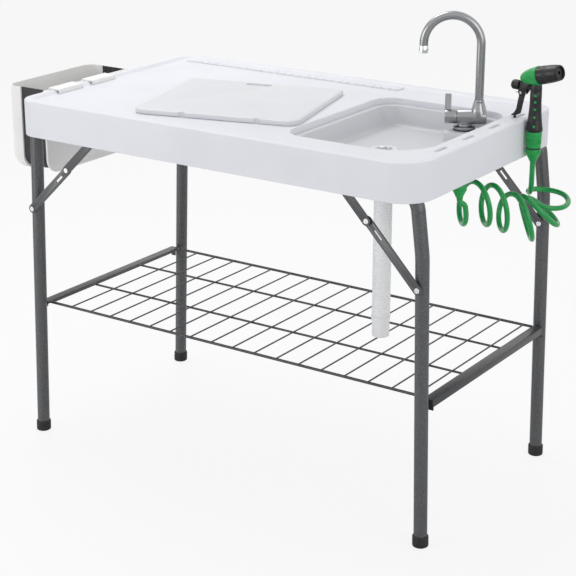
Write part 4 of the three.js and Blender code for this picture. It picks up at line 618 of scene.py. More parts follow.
def loft(rings: Sequence[Sequence[Sequence[float]]], low_cap: bool = True, high_cap: bool = True) -> Shape:
    """Joins rings of points with as many points each.

    Args:
        rings: The rings, counter-clockwise from above where they run upwards.
        low_cap: Whether the first is closed.
        high_cap: Whether the last is closed.

    Returns:
        The surface.
    """
    count = len(rings[0])
    faces: list[tuple[int, ...]] = []
    for ring in range(len(rings) - 1):
        for i in range(count):
            k = (i + 1) % count
            faces.append((ring * count + i, ring * count + k, (ring + 1) * count + k, (ring + 1) * count + i))
    if low_cap:
        faces.append(tuple(reversed(range(count))))
    if high_cap:
        faces.append(tuple(range((len(rings) - 1) * count, len(rings) * count)))
    return Shape([Vector(point) for ring in rings for point in ring], faces)


def around(count: int) -> list[float]:
    """Gives the angles of even steps round a full turn, in radians."""
    return [2 * math.pi * k / count for k in range(count)]


def fan(first: int, last: int, step: int) -> list[float]:
    """Gives angles in radians, from one to another, both of them and the step in degrees."""
    return [math.radians(angle) for angle in range(first, last + (1 if step > 0 else -1), step)]


def lathe(profile: Profile, sides: int = 48) -> Shape:
    """Turns a profile about Z.

    Args:
        profile: Radius and height pairs; closed at an end where the radius is 0 there.
        sides: Faces around.

    Returns:
        The turned surface.
    """
    least = 0.01  # so that a ring on the axis keeps its points
    rings = [[(max(radius, least) * math.cos(angle), max(radius, least) * math.sin(angle), height)
              for angle in around(sides)] for radius, height in profile]
    closed = profile[0] == profile[-1]
    return loft(rings, not closed and profile[0][0] == 0, not closed and profile[-1][0] == 0)


def sweep(path: Sequence[Vector], radius: float, sides: int) -> Shape:
    """Runs a round section along a path without twist.

    Args:
        path: The middle line.
        radius: The section's radius.
        sides: Faces around.

    Returns:
        The bar, closed at both ends.
    """
    tangents = []
    for i, point in enumerate(path):
        before = (point - path[i - 1]).normalized() if i else (path[1] - point).normalized()
        after = (path[i + 1] - point).normalized() if i + 1 < len(path) else before
        tangents.append((before + after).normalized())
    normal = tangents[0].orthogonal().normalized()
    rings = []
    for point, tangent in zip(path, tangents):
        normal = (normal - tangent * normal.dot(tangent)).normalized()
        across = tangent.cross(normal)
        rings.append([point + (normal * math.cos(angle) + across * math.sin(angle)) * radius
                      for angle in around(sides)])
    return loft(rings)


def rounded(points: Sequence[Vector], radii: Sequence[float], steps: int = 10) -> list[Vector]:
    """Rounds the corners of a line.

    Args:
        points: The line.
        radii: The radius at each inner corner.
        steps: Points along each arc.

    Returns:
        The rounded line.
    """
    out = [points[0].copy()]
    for i, radius in enumerate(radii, start=1):
        back = (points[i - 1] - points[i]).normalized()
        ahead = (points[i + 1] - points[i]).normalized()
        half = back.angle(ahead) / 2
        centre = points[i] + (back + ahead).normalized() * radius / math.sin(half)
        start = points[i] + back * radius / math.tan(half) - centre
        end = points[i] + ahead * radius / math.tan(half) - centre
        axis = start.cross(end).normalized()
        sweep_angle = start.angle(end)
        out += [centre + Matrix.Rotation(sweep_angle * k / steps, 3, axis) @ start for k in range(steps + 1)]
    out.append(points[-1].copy())
    return out


def divided(path: Sequence[Vector], step: float) -> list[Vector]:
    """Puts points at even steps on the straight stretches of a path.

    Args:
        path: The path.
        step: The longest step.

    Returns:
        The finer path.
    """
    out: list[Vector] = []
    for a, b in zip(path, path[1:]):
        pieces = max(1, math.ceil((b - a).length / step))
        out += [a.lerp(b, k / pieces) for k in range(pieces)]
    out.append(path[-1].copy())
    return out


@dataclass(frozen=True)
class Outline:
    """A rectangle with its own radius at each corner: front left, front right, rear right, rear left."""

    x0: float
    x1: float
    y0: float
    y1: float
    radii: tuple[float, float, float, float]
    steps: int = 12
    least: float = 0.4

    def ring(self, inset: float, z: float) -> list[Point]:
        """Gives the outline, moved inwards, at a height.

        Args:
            inset: How far inwards.
            z: The height.

        Returns:
            Its points, counter-clockwise.
        """
        out: list[Point] = []
        corners = ((self.x0, self.y0, 1, 1, math.pi), (self.x1, self.y0, -1, 1, 1.5 * math.pi),
                   (self.x1, self.y1, -1, -1, 0.0), (self.x0, self.y1, 1, -1, 0.5 * math.pi))
        for (x, y, sx, sy, start), full in zip(corners, self.radii):
            radius = max(full - inset, self.least)
            for step in range(self.steps + 1):
                angle = start + math.pi / 2 * step / self.steps
                out.append((x + sx * (inset + radius) + radius * math.cos(angle),
                            y + sy * (inset + radius) + radius * math.sin(angle), z))
        return out

    def stack(self, levels: Profile) -> Shape:
        """Builds a closed surface through insets and heights.

        Args:
            levels: Inset and height pairs.

        Returns:
            The surface.
        """
        return loft([self.ring(inset, z) for inset, z in levels])


def plate(outline: Sequence[tuple[float, float]], y0: float, y1: float) -> Shape:
    """Gives a flat outline in X and Z a thickness along Y.

    Args:
        outline: Its corners, counter-clockwise seen from the front.
        y0: Its front plane.
        y1: Its rear plane.

    Returns:
        The plate.
    """
    return loft([[(x, y1, z) for x, z in outline], [(x, y0, z) for x, z in outline]])


def box_shape(x0: float, x1: float, y0: float, y1: float, z0: float, z1: float) -> Shape:
    """Makes a plain block.

    Args:
        x0: Left side.
        x1: Right side.
        y0: Front.
        y1: Rear.
        z0: Underside.
        z1: Top.

    Returns:
        The block.
    """
    return loft([[(x0, y0, z), (x1, y0, z), (x1, y1, z), (x0, y1, z)] for z in (z0, z1)])


def mesh_of(name: str, shape: Shape) -> bpy.types.Object:
    """Makes an object from a shape, in the frame's metres.

    Args:
        name: The object's name.
        shape: Its shape.

    Returns:
        The object.
    """
    mesh = bpy.data.meshes.new(name)
    mesh.from_pydata([metres(*point) for point in shape.points], [], shape.faces)
    made = bpy.data.objects.new(name, mesh)
    bpy.context.scene.collection.objects.link(made)
    tidy = bmesh.new()
    tidy.from_mesh(mesh)
    bmesh.ops.remove_doubles(tidy, verts=tidy.verts, dist=2e-6)
    bmesh.ops.recalc_face_normals(tidy, faces=tidy.faces)
    tidy.to_mesh(mesh)
    tidy.free()
    return made


def settle(target: bpy.types.Object) -> None:
    """Applies the object's modifiers.

    Args:
        target: The object.
    """
    bpy.context.view_layer.update()
    evaluated = target.evaluated_get(bpy.context.evaluated_depsgraph_get())
    mesh = bpy.data.meshes.new_from_object(evaluated)
    target.modifiers.clear()
    target.data = mesh


def combine(target: bpy.types.Object, tools: Iterable[Shape], how: Join = Join.CUT) -> None:
    """Cuts shapes out of a piece, or joins them to it.

    Args:
        target: The object that changes.
        tools: The shapes.
        how: What they do to it.
    """
    helpers = []
    for number, tool in enumerate(tools):
        helper = mesh_of(f"{target.name}_tool_{number}", tool)
        modifier = target.modifiers.new(f"tool_{number}", "BOOLEAN")
        modifier.operation = how.value
        modifier.solver = "EXACT"
        modifier.object = helper
        helpers.append(helper)
    settle(target)
    for helper in helpers:
        bpy.data.objects.remove(helper)


def ease(target: bpy.types.Object, width: float, segments: int = 2, angle: float = 34.0) -> None:
    """Rounds the sharp edges.

    Args:
        target: The object.
        width: The width in millimetres.
        segments: Faces across each edge.
        angle: The least angle that counts as an edge.
    """
    modifier = target.modifiers.new("eased", "BEVEL")
    modifier.width = width * MM
    modifier.segments = segments
    modifier.limit_method = "ANGLE"
    modifier.angle_limit = math.radians(angle)
    modifier.use_clamp_overlap = True
    settle(target)


def smooth(target: bpy.types.Object, angle: float = 32.0) -> None:
    """Shades the object smoothly apart from its sharp edges.

    Args:
        target: The object.
        angle: The least angle of a sharp edge.
    """
    work = bmesh.new()
    work.from_mesh(target.data)
    limit = math.radians(angle)
    for face in work.faces:
        face.smooth = True
    for edge in work.edges:
        edge.smooth = len(edge.link_faces) == 2 and edge.calc_face_angle(0.0) < limit
    work.to_mesh(target.data)
    work.free()


def finished(target: bpy.types.Object, finish: Finish, body: str, nodes: Sequence[str],
             angle: float = 32.0) -> bpy.types.Object:
    """Dresses a piece and hangs it on its body in place of its solids.

    Args:
        target: The piece.
        finish: Its finish.
        body: The body it moves with.
        nodes: The solids it stands for.
        angle: The least angle of a sharp edge.

    Returns:
        The piece.
    """
    smooth(target, angle)
    target.data.materials.clear()
    target.data.materials.append(finish.material())
    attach(target, body)
    if nodes:
        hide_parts(*nodes)
    LOG.info("%s on %s", target.name, body)
    return target


def piece(name: str, shape: Shape, finish: Finish, body: str, nodes: Sequence[str] = (), edge: float = 0.0,
          segments: int = 2, angle: float = 32.0, cuts: Sequence[Shape] = ()) -> bpy.types.Object:
    """Makes, cuts, eases and dresses one piece.

    Args:
        name: Its name.
        shape: Its shape.
        finish: Its finish.
        body: The body it moves with.
        nodes: The solids it stands for.
        edge: The width of its eased edges, in millimetres.
        segments: Faces across each eased edge.
        angle: The least angle of a sharp edge.
        cuts: Shapes that are cut out of it.

    Returns:
        The piece.
    """
    made = mesh_of(name, shape)
    if cuts:
        combine(made, cuts)
    if edge > 0:
        ease(made, edge, segments)
    return finished(made, finish, body, nodes, angle)


# Studio


@dataclass(frozen=True)
class Lamp:
    """A soft lamp: where it hangs, its power in watts and its width in metres."""

    name: str
    place: Point
    power: float
    size: float

    def hang(self, aim: Point) -> None:
        """Hangs the lamp.

        Args:
            aim: What it points at.
        """
        data = bpy.data.lights.new(self.name, "AREA")
        data.energy = self.power
        data.size = self.size
        made = bpy.data.objects.new(self.name, data)
        bpy.context.scene.collection.objects.link(made)
        made.location = self.place
        made.rotation_euler = (Vector(aim) - Vector(self.place)).to_track_quat("-Z", "Y").to_euler()


@dataclass(frozen=True)
class Studio:
    """A pale floor, a white sky, soft lamps and the camera at the photograph's angle."""

    camera_place: Point = (2.2200, -3.2559, 1.8196)
    azimuth: float = 34.19
    elevation: float = 19.44
    lens: float = 102.05
    sensor: float = 36.0
    far_limit: float = 100.0
    floor_size: float = 40.0
    floor_colour: Point = (0.86, 0.86, 0.865)
    floor_roughness: float = 0.42
    floor_gloss: float = 0.25
    floor_glow: float = 0.84
    white: Point = (1.0, 1.0, 1.0)
    sky: float = 0.52
    aim: Point = (0.0, 0.0, 0.6)
    lamps: tuple[Lamp, ...] = (
        Lamp("key_lamp", (-1.3, 0.5, 3.3), 38.0, 1.8),
        Lamp("fill_lamp", (3.4, -1.0, 1.9), 27.0, 2.4),
        Lamp("left_lamp", (-2.3, -3.6, 1.2), 44.0, 2.4),
        Lamp("rim_lamp", (0.6, 3.0, 3.0), 6.0, 2.4),
    )

    def camera(self) -> None:
        """Places the camera."""
        data = bpy.data.cameras.new("camera")
        data.lens = self.lens
        data.sensor_width = self.sensor
        data.sensor_fit = "HORIZONTAL"
        data.clip_end = self.far_limit
        made = bpy.data.objects.new("camera", data)
        bpy.context.scene.collection.objects.link(made)
        x, y, z = self.camera_place
        made.location = (x + SHIFT, y, z)
        round_z, down = math.radians(self.azimuth), math.radians(self.elevation)
        level = math.cos(down)
        ahead = Vector((-math.sin(round_z) * level, math.cos(round_z) * level, -math.sin(down)))
        made.rotation_euler = ahead.to_track_quat("-Z", "Y").to_euler()
        bpy.context.scene.camera = made

    def floor(self) -> None:
        """Lays the floor, which looks white to the camera and still takes shadows."""
        half = self.floor_size / 2
        mesh = bpy.data.meshes.new("floor")
        corners = [(-half, -half, 0.0), (half, -half, 0.0), (half, half, 0.0), (-half, half, 0.0)]
        mesh.from_pydata(corners, [], [(0, 1, 2, 3)])
        made = bpy.data.objects.new("floor", mesh)
        bpy.context.scene.collection.objects.link(made)
        graph = Graph("pale_floor")
        seen = graph.node("ShaderNodeLightPath", output="Is Camera Ray")
        plain = graph.node("ShaderNodeBsdfPrincipled", None,
                           {"Base Color": self.floor_colour, "Roughness": self.floor_roughness,
                            "Specular IOR Level": self.floor_gloss})
        glow = graph.node("ShaderNodeEmission", None, {"Color": self.white, "Strength": 1.0})
        both = {0: seen * self.floor_glow, 1: plain, 2: glow}
        graph.end(graph.node("ShaderNodeMixShader", None, both))
        mesh.materials.append(graph.material)

    def world(self) -> None:
        """Makes the sky: white to the camera and in reflections, dimmer as a light."""
        world = bpy.data.worlds.new("sky")
        world.use_nodes = True
        graph = Graph("sky", world.node_tree)
        camera, glossy, through = (graph.node("ShaderNodeLightPath", output=name)
                                   for name in ("Is Camera Ray", "Is Glossy Ray", "Is Transmission Ray"))
        seen = camera.most(glossy).most(through)
        light = graph.node("ShaderNodeBackground", None, {"Color": self.white, "Strength": self.sky})
        white = graph.node("ShaderNodeBackground", None, {"Color": self.white, "Strength": 1.0})
        graph.end(graph.node("ShaderNodeMixShader", None, {0: seen, 1: light, 2: white}))
        bpy.context.scene.world = world

    def build(self) -> None:
        """Sets up the whole studio."""
        self.camera()
        self.floor()
        for lamp in self.lamps:
            lamp.hang(self.aim)
        self.world()
        bpy.context.scene.view_settings.view_transform = "Standard"


# The hoses


@dataclass(frozen=True)
class CurlyHose:
    """The green curly hose, from its connector under the rim to the tail of the spray gun."""

    radius: float = 6.25
    sides: int = 20
    loop_radius: float = 49.0
    turns: float = 5.75
    steps_per_turn: int = 24
    bend_steps: int = 6
    longest_step: float = 6.0
    edge_angle: float = 60.0
    start: Point = (*INLET_PLACE, 785.7)
    end: Point = (594.0, 168.5, 814.7)
    start_length: float = 3.0
    sway_radius: float = 13.0
    sway_turn: float = 65.0
    sway_steps: int = 3
    end_length: float = 45.0
    bend: float = 40.0
    start_turn: float = 52.0
    end_turn: float = 34.0
    # The loops tip over from upright to level between these shares of the way.
    lean_from: float = 0.49
    lean_to: float = 0.93
    # The line that the middles of the loops follow.
    centres: tuple[Point, ...] = ((562, -4, 748), (578, 50, 723), (629, 92, 697), (630, 118, 710),
                                  (639, 150, 706))
    length: float = 1.924
    # The two ends of the straight stretch of hose next to the gun.
    stretch_from: Point = (594.0, 150.0, 770.0)
    stretch_to: Point = (594.0, 168.5, 812.0)

    @staticmethod
    def across(turn: float) -> Vector:
        """Gives the level direction in the plane of a loop."""
        return Vector((-math.sin(turn), math.cos(turn), 0.0))

    @staticmethod
    def along(turn: float) -> Vector:
        """Gives the level direction that a loop faces."""
        return Vector((math.cos(turn), math.sin(turn), 0.0))

    @staticmethod
    def curve(points: Sequence[Vector], fineness: int = 80) -> list[Vector]:
        """Draws one smooth line through points.

        Args:
            points: The points.
            fineness: Steps between two of them.

        Returns:
            The line.
        """
        out: list[Vector] = []
        for i in range(len(points) - 1):
            start, end = points[i], points[i + 1]
            before = points[i - 1] if i else start - end + start
            after = points[i + 2] if i + 2 < len(points) else end - start + end
            into, over, past = (max((b - a).length ** 0.5, 1e-4)
                                for a, b in ((before, start), (start, end), (end, after)))
            leaving = ((start - before) / into - (end - before) / (into + over) + (end - start) / over) * over
            arriving = ((end - start) / over - (after - start) / (over + past) + (after - end) / past) * over
            for k in range(fineness + 1 if i == len(points) - 2 else fineness):
                share = k / fineness
                out.append(start + leaving * share
                           + (-3 * start + 3 * end - 2 * leaving - arriving) * share**2
                           + (2 * start - 2 * end + leaving + arriving) * share**3)
        return out

    def sway(self, start: Vector) -> list[Vector]:
        """Works out the short double bend below the connector.

        Args:
            start: The hose's first point.

        Returns:
            Its points, down to where the loops begin.
        """
        full = math.radians(self.sway_turn)
        side = self.along(math.radians(self.end_turn))
        top = start - Vector((0.0, 0.0, self.start_length))
        points = [start, top]
        for step in range(1, 2 * self.sway_steps + 1):
            angle = full * (1 - abs(1 - step / self.sway_steps))
            sideways, down = 1 - math.cos(angle), math.sin(angle)
            if step > self.sway_steps:
                sideways, down = 2 * (1 - math.cos(full)) - sideways, 2 * math.sin(full) - down
            points.append(top + (side * sideways - Vector((0.0, 0.0, down))) * self.sway_radius)
        return points

    def route(self) -> list[Vector]:
        """Works out the hose's middle line.

        Returns:
            Its points in millimetres.
        """
        first, last = math.radians(self.start_turn), math.radians(self.end_turn)
        up = Vector((0.0, 0.0, 1.0))
        start, end = Vector(self.start), Vector(self.end)
        points = self.sway(start)
        loop_start = points.pop()
        bend_centre = end - up * self.end_length + self.across(last) * self.bend
        loop_end = bend_centre - up * self.bend
        line = self.curve([loop_start + self.across(first) * self.loop_radius, *map(Vector, self.centres),
                           loop_end + self.along(last) * self.loop_radius])
        places = [0.0]
        for a, b in zip(line, line[1:]):
            places.append(places[-1] + (b - a).length)

        def centre(share: float) -> Vector:
            """Finds the point at a share of the line's length."""
            wanted = share * places[-1]
            k = next((i for i in range(1, len(places)) if places[i] >= wanted - 1e-9), len(places) - 1)
            span = places[k] - places[k - 1]
            return line[k - 1].lerp(line[k], (wanted - places[k - 1]) / span if span else 0.0)

        steps = round(self.turns * self.steps_per_turn)
        for step in range(steps + 1):
            share = step / steps
            leaning = min(max((share - self.lean_from) / (self.lean_to - self.lean_from), 0.0), 1.0)
            turn = first + (last - first) * leaning * leaning
            lean = math.pi / 2 * leaning
            rise = up * math.cos(lean) - self.along(turn) * math.sin(lean)
            phase = 2 * math.pi * self.turns * share
            points.append(centre(share) - self.across(turn) * self.loop_radius * math.cos(phase)
                          - rise * self.loop_radius * math.sin(phase))
        for step in range(1, self.bend_steps + 1):
            angle = math.pi / 2 * step / self.bend_steps
            points.append(bend_centre - up * self.bend * math.cos(angle)
                          - self.across(last) * self.bend * math.sin(angle))
        points.append(end)
        return points

    def build(self) -> None:
        fine = divided(self.curve(self.route(), 3), self.longest_step)
        made = mesh_of("green_curly_hose", sweep(fine, self.radius, self.sides))
        smooth(made, self.edge_angle)
        made.data.materials.append(HOSE_GREEN.material())
        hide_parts("curly_hose")
        tuple(metres(*self.stretch_from))
        tuple(metres(*self.stretch_to))
        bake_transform(made)
        metres(*self.start)
        [metres(*p) for p in fine]


@dataclass(frozen=True)
class DrainHose:
    """The pale ribbed drain hose and its cuff."""

    top: float = 799.0
    low: float = 425.0
    crest: float = 22.5
    root: float = 20.9
    bore: float = 19.2
    ribs: int = 78
    # Where a rib rises, reaches its crest and ends, as shares of the pitch.
    rib_rise: tuple[float, float] = (0.28, 0.45)
    rib_end: float = 0.78
    cuff_low: float = 372.0
    cuff_bore: float = 18.6
    cuff_wall: float = 21.5
    cuff_ring: float = 23.2
    cuff_gap: float = 0.3
    squeeze: float = 0.9
    path_steps: int = 24

    def tube(self) -> Shape:
        """Builds the ribbed wall and the bore.

        Returns:
            The hose.
        """
        pitch = (self.top - self.low) / self.ribs
        foot, crest = self.rib_rise
        outside: list[tuple[float, float]] = []
        for rib in range(self.ribs):
            base = self.low + pitch * rib
            outside += [(self.root, base), (self.root, base + pitch * foot),
                        (self.crest, base + pitch * crest), (self.crest, base + pitch * self.rib_end)]
        outside.append((self.root, self.top))
        return lathe([*outside, (self.bore, self.top), (self.bore, self.low), outside[0]], 40)

    def cuff(self) -> Shape:
        """Builds the cuff with its two rings.

        Returns:
            The cuff.
        """
        bore, wall, ring, high = self.cuff_bore, self.cuff_wall, self.cuff_ring, self.low - self.cuff_gap
        profile = [(bore, self.cuff_low), (wall - 1, self.cuff_low), (wall, self.cuff_low + 1),
                   (wall, high - 11)]
        for base in (high - 11, high - 4):
            profile += [(ring, base + 0.6), (ring, base + 3.4), (wall, base + 4), (wall, min(base + 7, high))]
        return lathe([*profile, (bore, high), profile[0]], 48)

    def build(self) -> None:
        anchor = metres(*DRAIN_PLACE, self.top)
        hose = piece("ribbed_drain_hose", self.tube().moved(*DRAIN_PLACE, 0), HOSE_PALE, "table",
                     ["drain_hose"], angle=50)
        cuff = piece("drain_cuff", self.cuff().moved(*DRAIN_PLACE, 0), HOSE_PALE, "table",
                     ["drain_hose_cuff"])
        for part in (hose, cuff):
            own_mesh(part)
        drop = self.low - self.top
        path = [metres(*DRAIN_PLACE, self.top + drop * k / self.path_steps)
                for k in range(self.path_steps + 1)]


# The table

# The opening for the sink, which the top and the basin share.
SINK_OUTLINE = Outline(150, 505, -240, 226, (60, 120, 60, 60), 14)


@dataclass(frozen=True)
class TableTop:
    """The moulded top: skirt, rim, deck, ruler and tool slots."""

    depth: float = 698.0
    rim: float = 914.0
    skirt: float = 824.0
    wall: float = 3.0
    deck: float = 907.0
    under: float = 899.0
    corners: tuple[float, float, float, float] = (54, 76, 76, 54)
    deck_corner: float = 40.0
    corner_steps: int = 14
    edge: float = 5.0
    rim_width: float = 23.0
    rim_right: float = 60.0
    slot_x: float = 541.0
    slot_ys: tuple[float, ...] = (-187.0, -60.0, 67.0, 194.0)
    slot_half: float = 25.0
    slot_radius: float = 5.5
    throat_inset: float = 14.0
    ruler_left: float = -525.0
    ruler_right: float = 150.0
    ruler_inset: float = 29.0
    ruler_width: float = 34.0
    mark_pitch: float = 25.0
    mark_width: float = 3.0
    mark_floor: float = 1.6
    mark_count: int = 26
    short_mark: float = 9.0
    long_mark: float = 16.0

    def body(self) -> Shape:
        """Builds the shell with rounded rim edges and a soft step down to the deck.

        Returns:
            The shell.
        """
        half = self.depth / 2
        edge = self.edge
        outer = Outline(-HALF_LENGTH, HALF_LENGTH, -half, half, self.corners, self.corner_steps)
        deck = Outline(-HALF_LENGTH + self.rim_width, HALF_LENGTH - self.rim_right, -half + self.rim_width,
                       half - self.rim_width, (self.deck_corner,) * 4, self.corner_steps)
        skin = [(self.wall, self.under), (self.wall, self.skirt), (0.8, self.skirt), (0.0, self.skirt + 1.2),
                (0.0, self.skirt + 22), (0.0, self.rim - edge)]
        skin += [(edge + edge * math.cos(a), self.rim - edge + edge * math.sin(a)) for a in fan(165, 90, -15)]
        step = [(-6.0, self.rim), (-4.8, self.rim - 0.3), (-3.6, self.rim - 1.2), (1.6, self.deck + 1.9),
                (3.2, self.deck + 0.9), (4.8, self.deck + 0.25), (6.2, self.deck), (7.7, self.deck)]
        rings = [outer.ring(inset, z) for inset, z in skin] + [deck.ring(inset, z) for inset, z in step]
        return loft(rings)

    def ruler(self) -> tuple[Shape, list[Shape]]:
        """Builds the raised ruler strip and its grooves.

        Returns:
            The strip and the cutters of its grooves.
        """
        rear = self.depth / 2 - self.ruler_inset
        front, deck = rear - self.ruler_width, self.deck
        strip = box_shape(self.ruler_left, self.ruler_right, front, rear + 1.5, deck - 1, deck + 4)
        marks = []
        for number in range(1, self.mark_count + 1):
            x = self.ruler_left + self.mark_pitch * number
            reach = self.long_mark if number % 4 == 0 else self.short_mark
            marks.append(box_shape(x, x + self.mark_width, front - 4, front + reach, deck + self.mark_floor,
                                   deck + 8))
        return strip, marks

    def slot(self, y: float) -> Shape:
        """Gives the cutter of a tool slot, wider at the top for its rounded edge.

        Args:
            y: The slot's middle.

        Returns:
            The cutter.
        """
        radius, rim = self.slot_radius, self.rim
        ring = Outline(self.slot_x - radius, self.slot_x + radius, y - self.slot_half, y + self.slot_half,
                       (radius,) * 4, 6)
        return ring.stack([(0, 880), (0, rim - 1.4), (-0.5, rim - 0.4), (-1.6, rim + 0.1), (-1.6, rim + 6)])

    def build(self) -> None:
        """Makes the top."""
        sink, lip = SINK_OUTLINE, 3.0
        mouth = [(0.0, 888.0), (0.0, self.deck - lip)]
        mouth += [(-lip + lip * math.cos(a), self.deck - lip + lip * math.sin(a)) for a in fan(30, 90, 30)]
        cutters = [sink.stack([*mouth, (-lip, self.rim + 10)]), *map(self.slot, self.slot_ys),
                   sink.stack([(self.throat_inset, 870), (self.throat_inset, 900)])]
        made = mesh_of("moulded_top", self.body())
        combine(made, [sink.stack([(-4, 885), (-4, self.under + 1)])], Join.ADD)
        combine(made, cutters)
        strip, marks = self.ruler()
        ruler = mesh_of("ruler_strip", strip)
        ease(ruler, 1.2, 2)
        combine(ruler, marks)
        finished(ruler, WHITE, "table", ())
        finished(made, WHITE, "table", ["table_top"], 28)


@dataclass(frozen=True)
class Basin:
    """The sink basin with its flange and the raised place for the tap."""

    top: float = 891.3
    floor: float = 842.0
    under: float = 837.0
    wall: float = 4.0
    inset: float = 14.3
    taper: float = 8.0
    foot: float = 14.0
    platform_left: float = 373.0
    platform_front: float = 115.0
    platform_top: float = 868.0
    drain_hole: float = 24.6
    dish: float = 44.0
    tap_place: tuple[float, float] = (410.04, 165.02)
    tap_hole: float = 11.5

    def tub(self) -> tuple[Shape, Shape, Shape]:
        """Builds the basin's outside, its flange and its hollow.

        Returns:
            The three shapes.
        """
        sink, foot = SINK_OUTLINE, self.foot
        low = self.inset + self.taper
        outside = sink.stack([(low + foot, self.under), (low + 4, self.under + 4), (low, self.under + foot),
                              (self.inset, 889.3)])
        flange = sink.stack([(0.3, 888.3), (0.3, self.top - 0.8), (1.1, self.top)])
        middle, wall = low + self.wall + foot, self.inset + self.wall
        rise = [(middle - foot * math.sin(a), self.floor + foot - foot * math.cos(a)) for a in fan(0, 90, 18)]
        hollow = sink.stack([(middle + 1.5, self.floor), *rise, (wall, self.top - 2),
                             (wall - 1, self.top - 0.6), (wall - 2.6, self.top), (wall - 2.6, self.top + 8)])
        return outside, flange, hollow

    def platform(self) -> tuple[Shape, Shape]:
        """Builds the raised place for the tap.

        Returns:
            The block and the hollow under it.
        """
        low = self.inset + self.taper
        left, front, floor, top = self.platform_left, self.platform_front, self.floor, self.platform_top
        right, rear = SINK_OUTLINE.x1 - low - 6, SINK_OUTLINE.y1 - low - 6
        step = Outline(left, right + 4, front, rear + 4, (16, 6, 16, 6), 8)
        block = step.stack([(-2.5, floor - 3), (-2.5, floor + 0.6), (-1, floor + 2.4), (0, floor + 5),
                            (0, top - 3), (0.9, top - 0.9), (3, top)])
        return block, box_shape(left + 6, right - 12, front + 6, rear - 12, 800, top - self.wall)

    def build(self) -> None:
        """Makes the basin."""
        outside, flange, hollow = self.tub()
        block, pocket = self.platform()
        made = mesh_of("basin", outside)
        combine(made, [flange], Join.ADD)
        combine(made, [hollow])
        combine(made, [block], Join.ADD)
        hole, dish, floor = self.drain_hole, self.dish, self.floor
        drain = lathe([(0, 820), (hole, 820), (hole, 860), (0, 860)])
        bowl = lathe([(0, floor - 1.2), (30, floor - 1.2), (dish, floor + 0.1), (dish, 850), (0, 850)], 64)
        tap = lathe([(0, 820), (self.tap_hole, 820), (self.tap_hole, 880), (0, 880)])
        combine(made, [pocket, bowl.moved(*DRAIN_PLACE, 0), drain.moved(*DRAIN_PLACE, 0),
                       tap.moved(*self.tap_place, 0)])
        # The basin's darker white is painted shade, not a grey plastic.
        finished(made, BASIN_PAINTED_SHADE, "table", ["sink_basin"], 30)


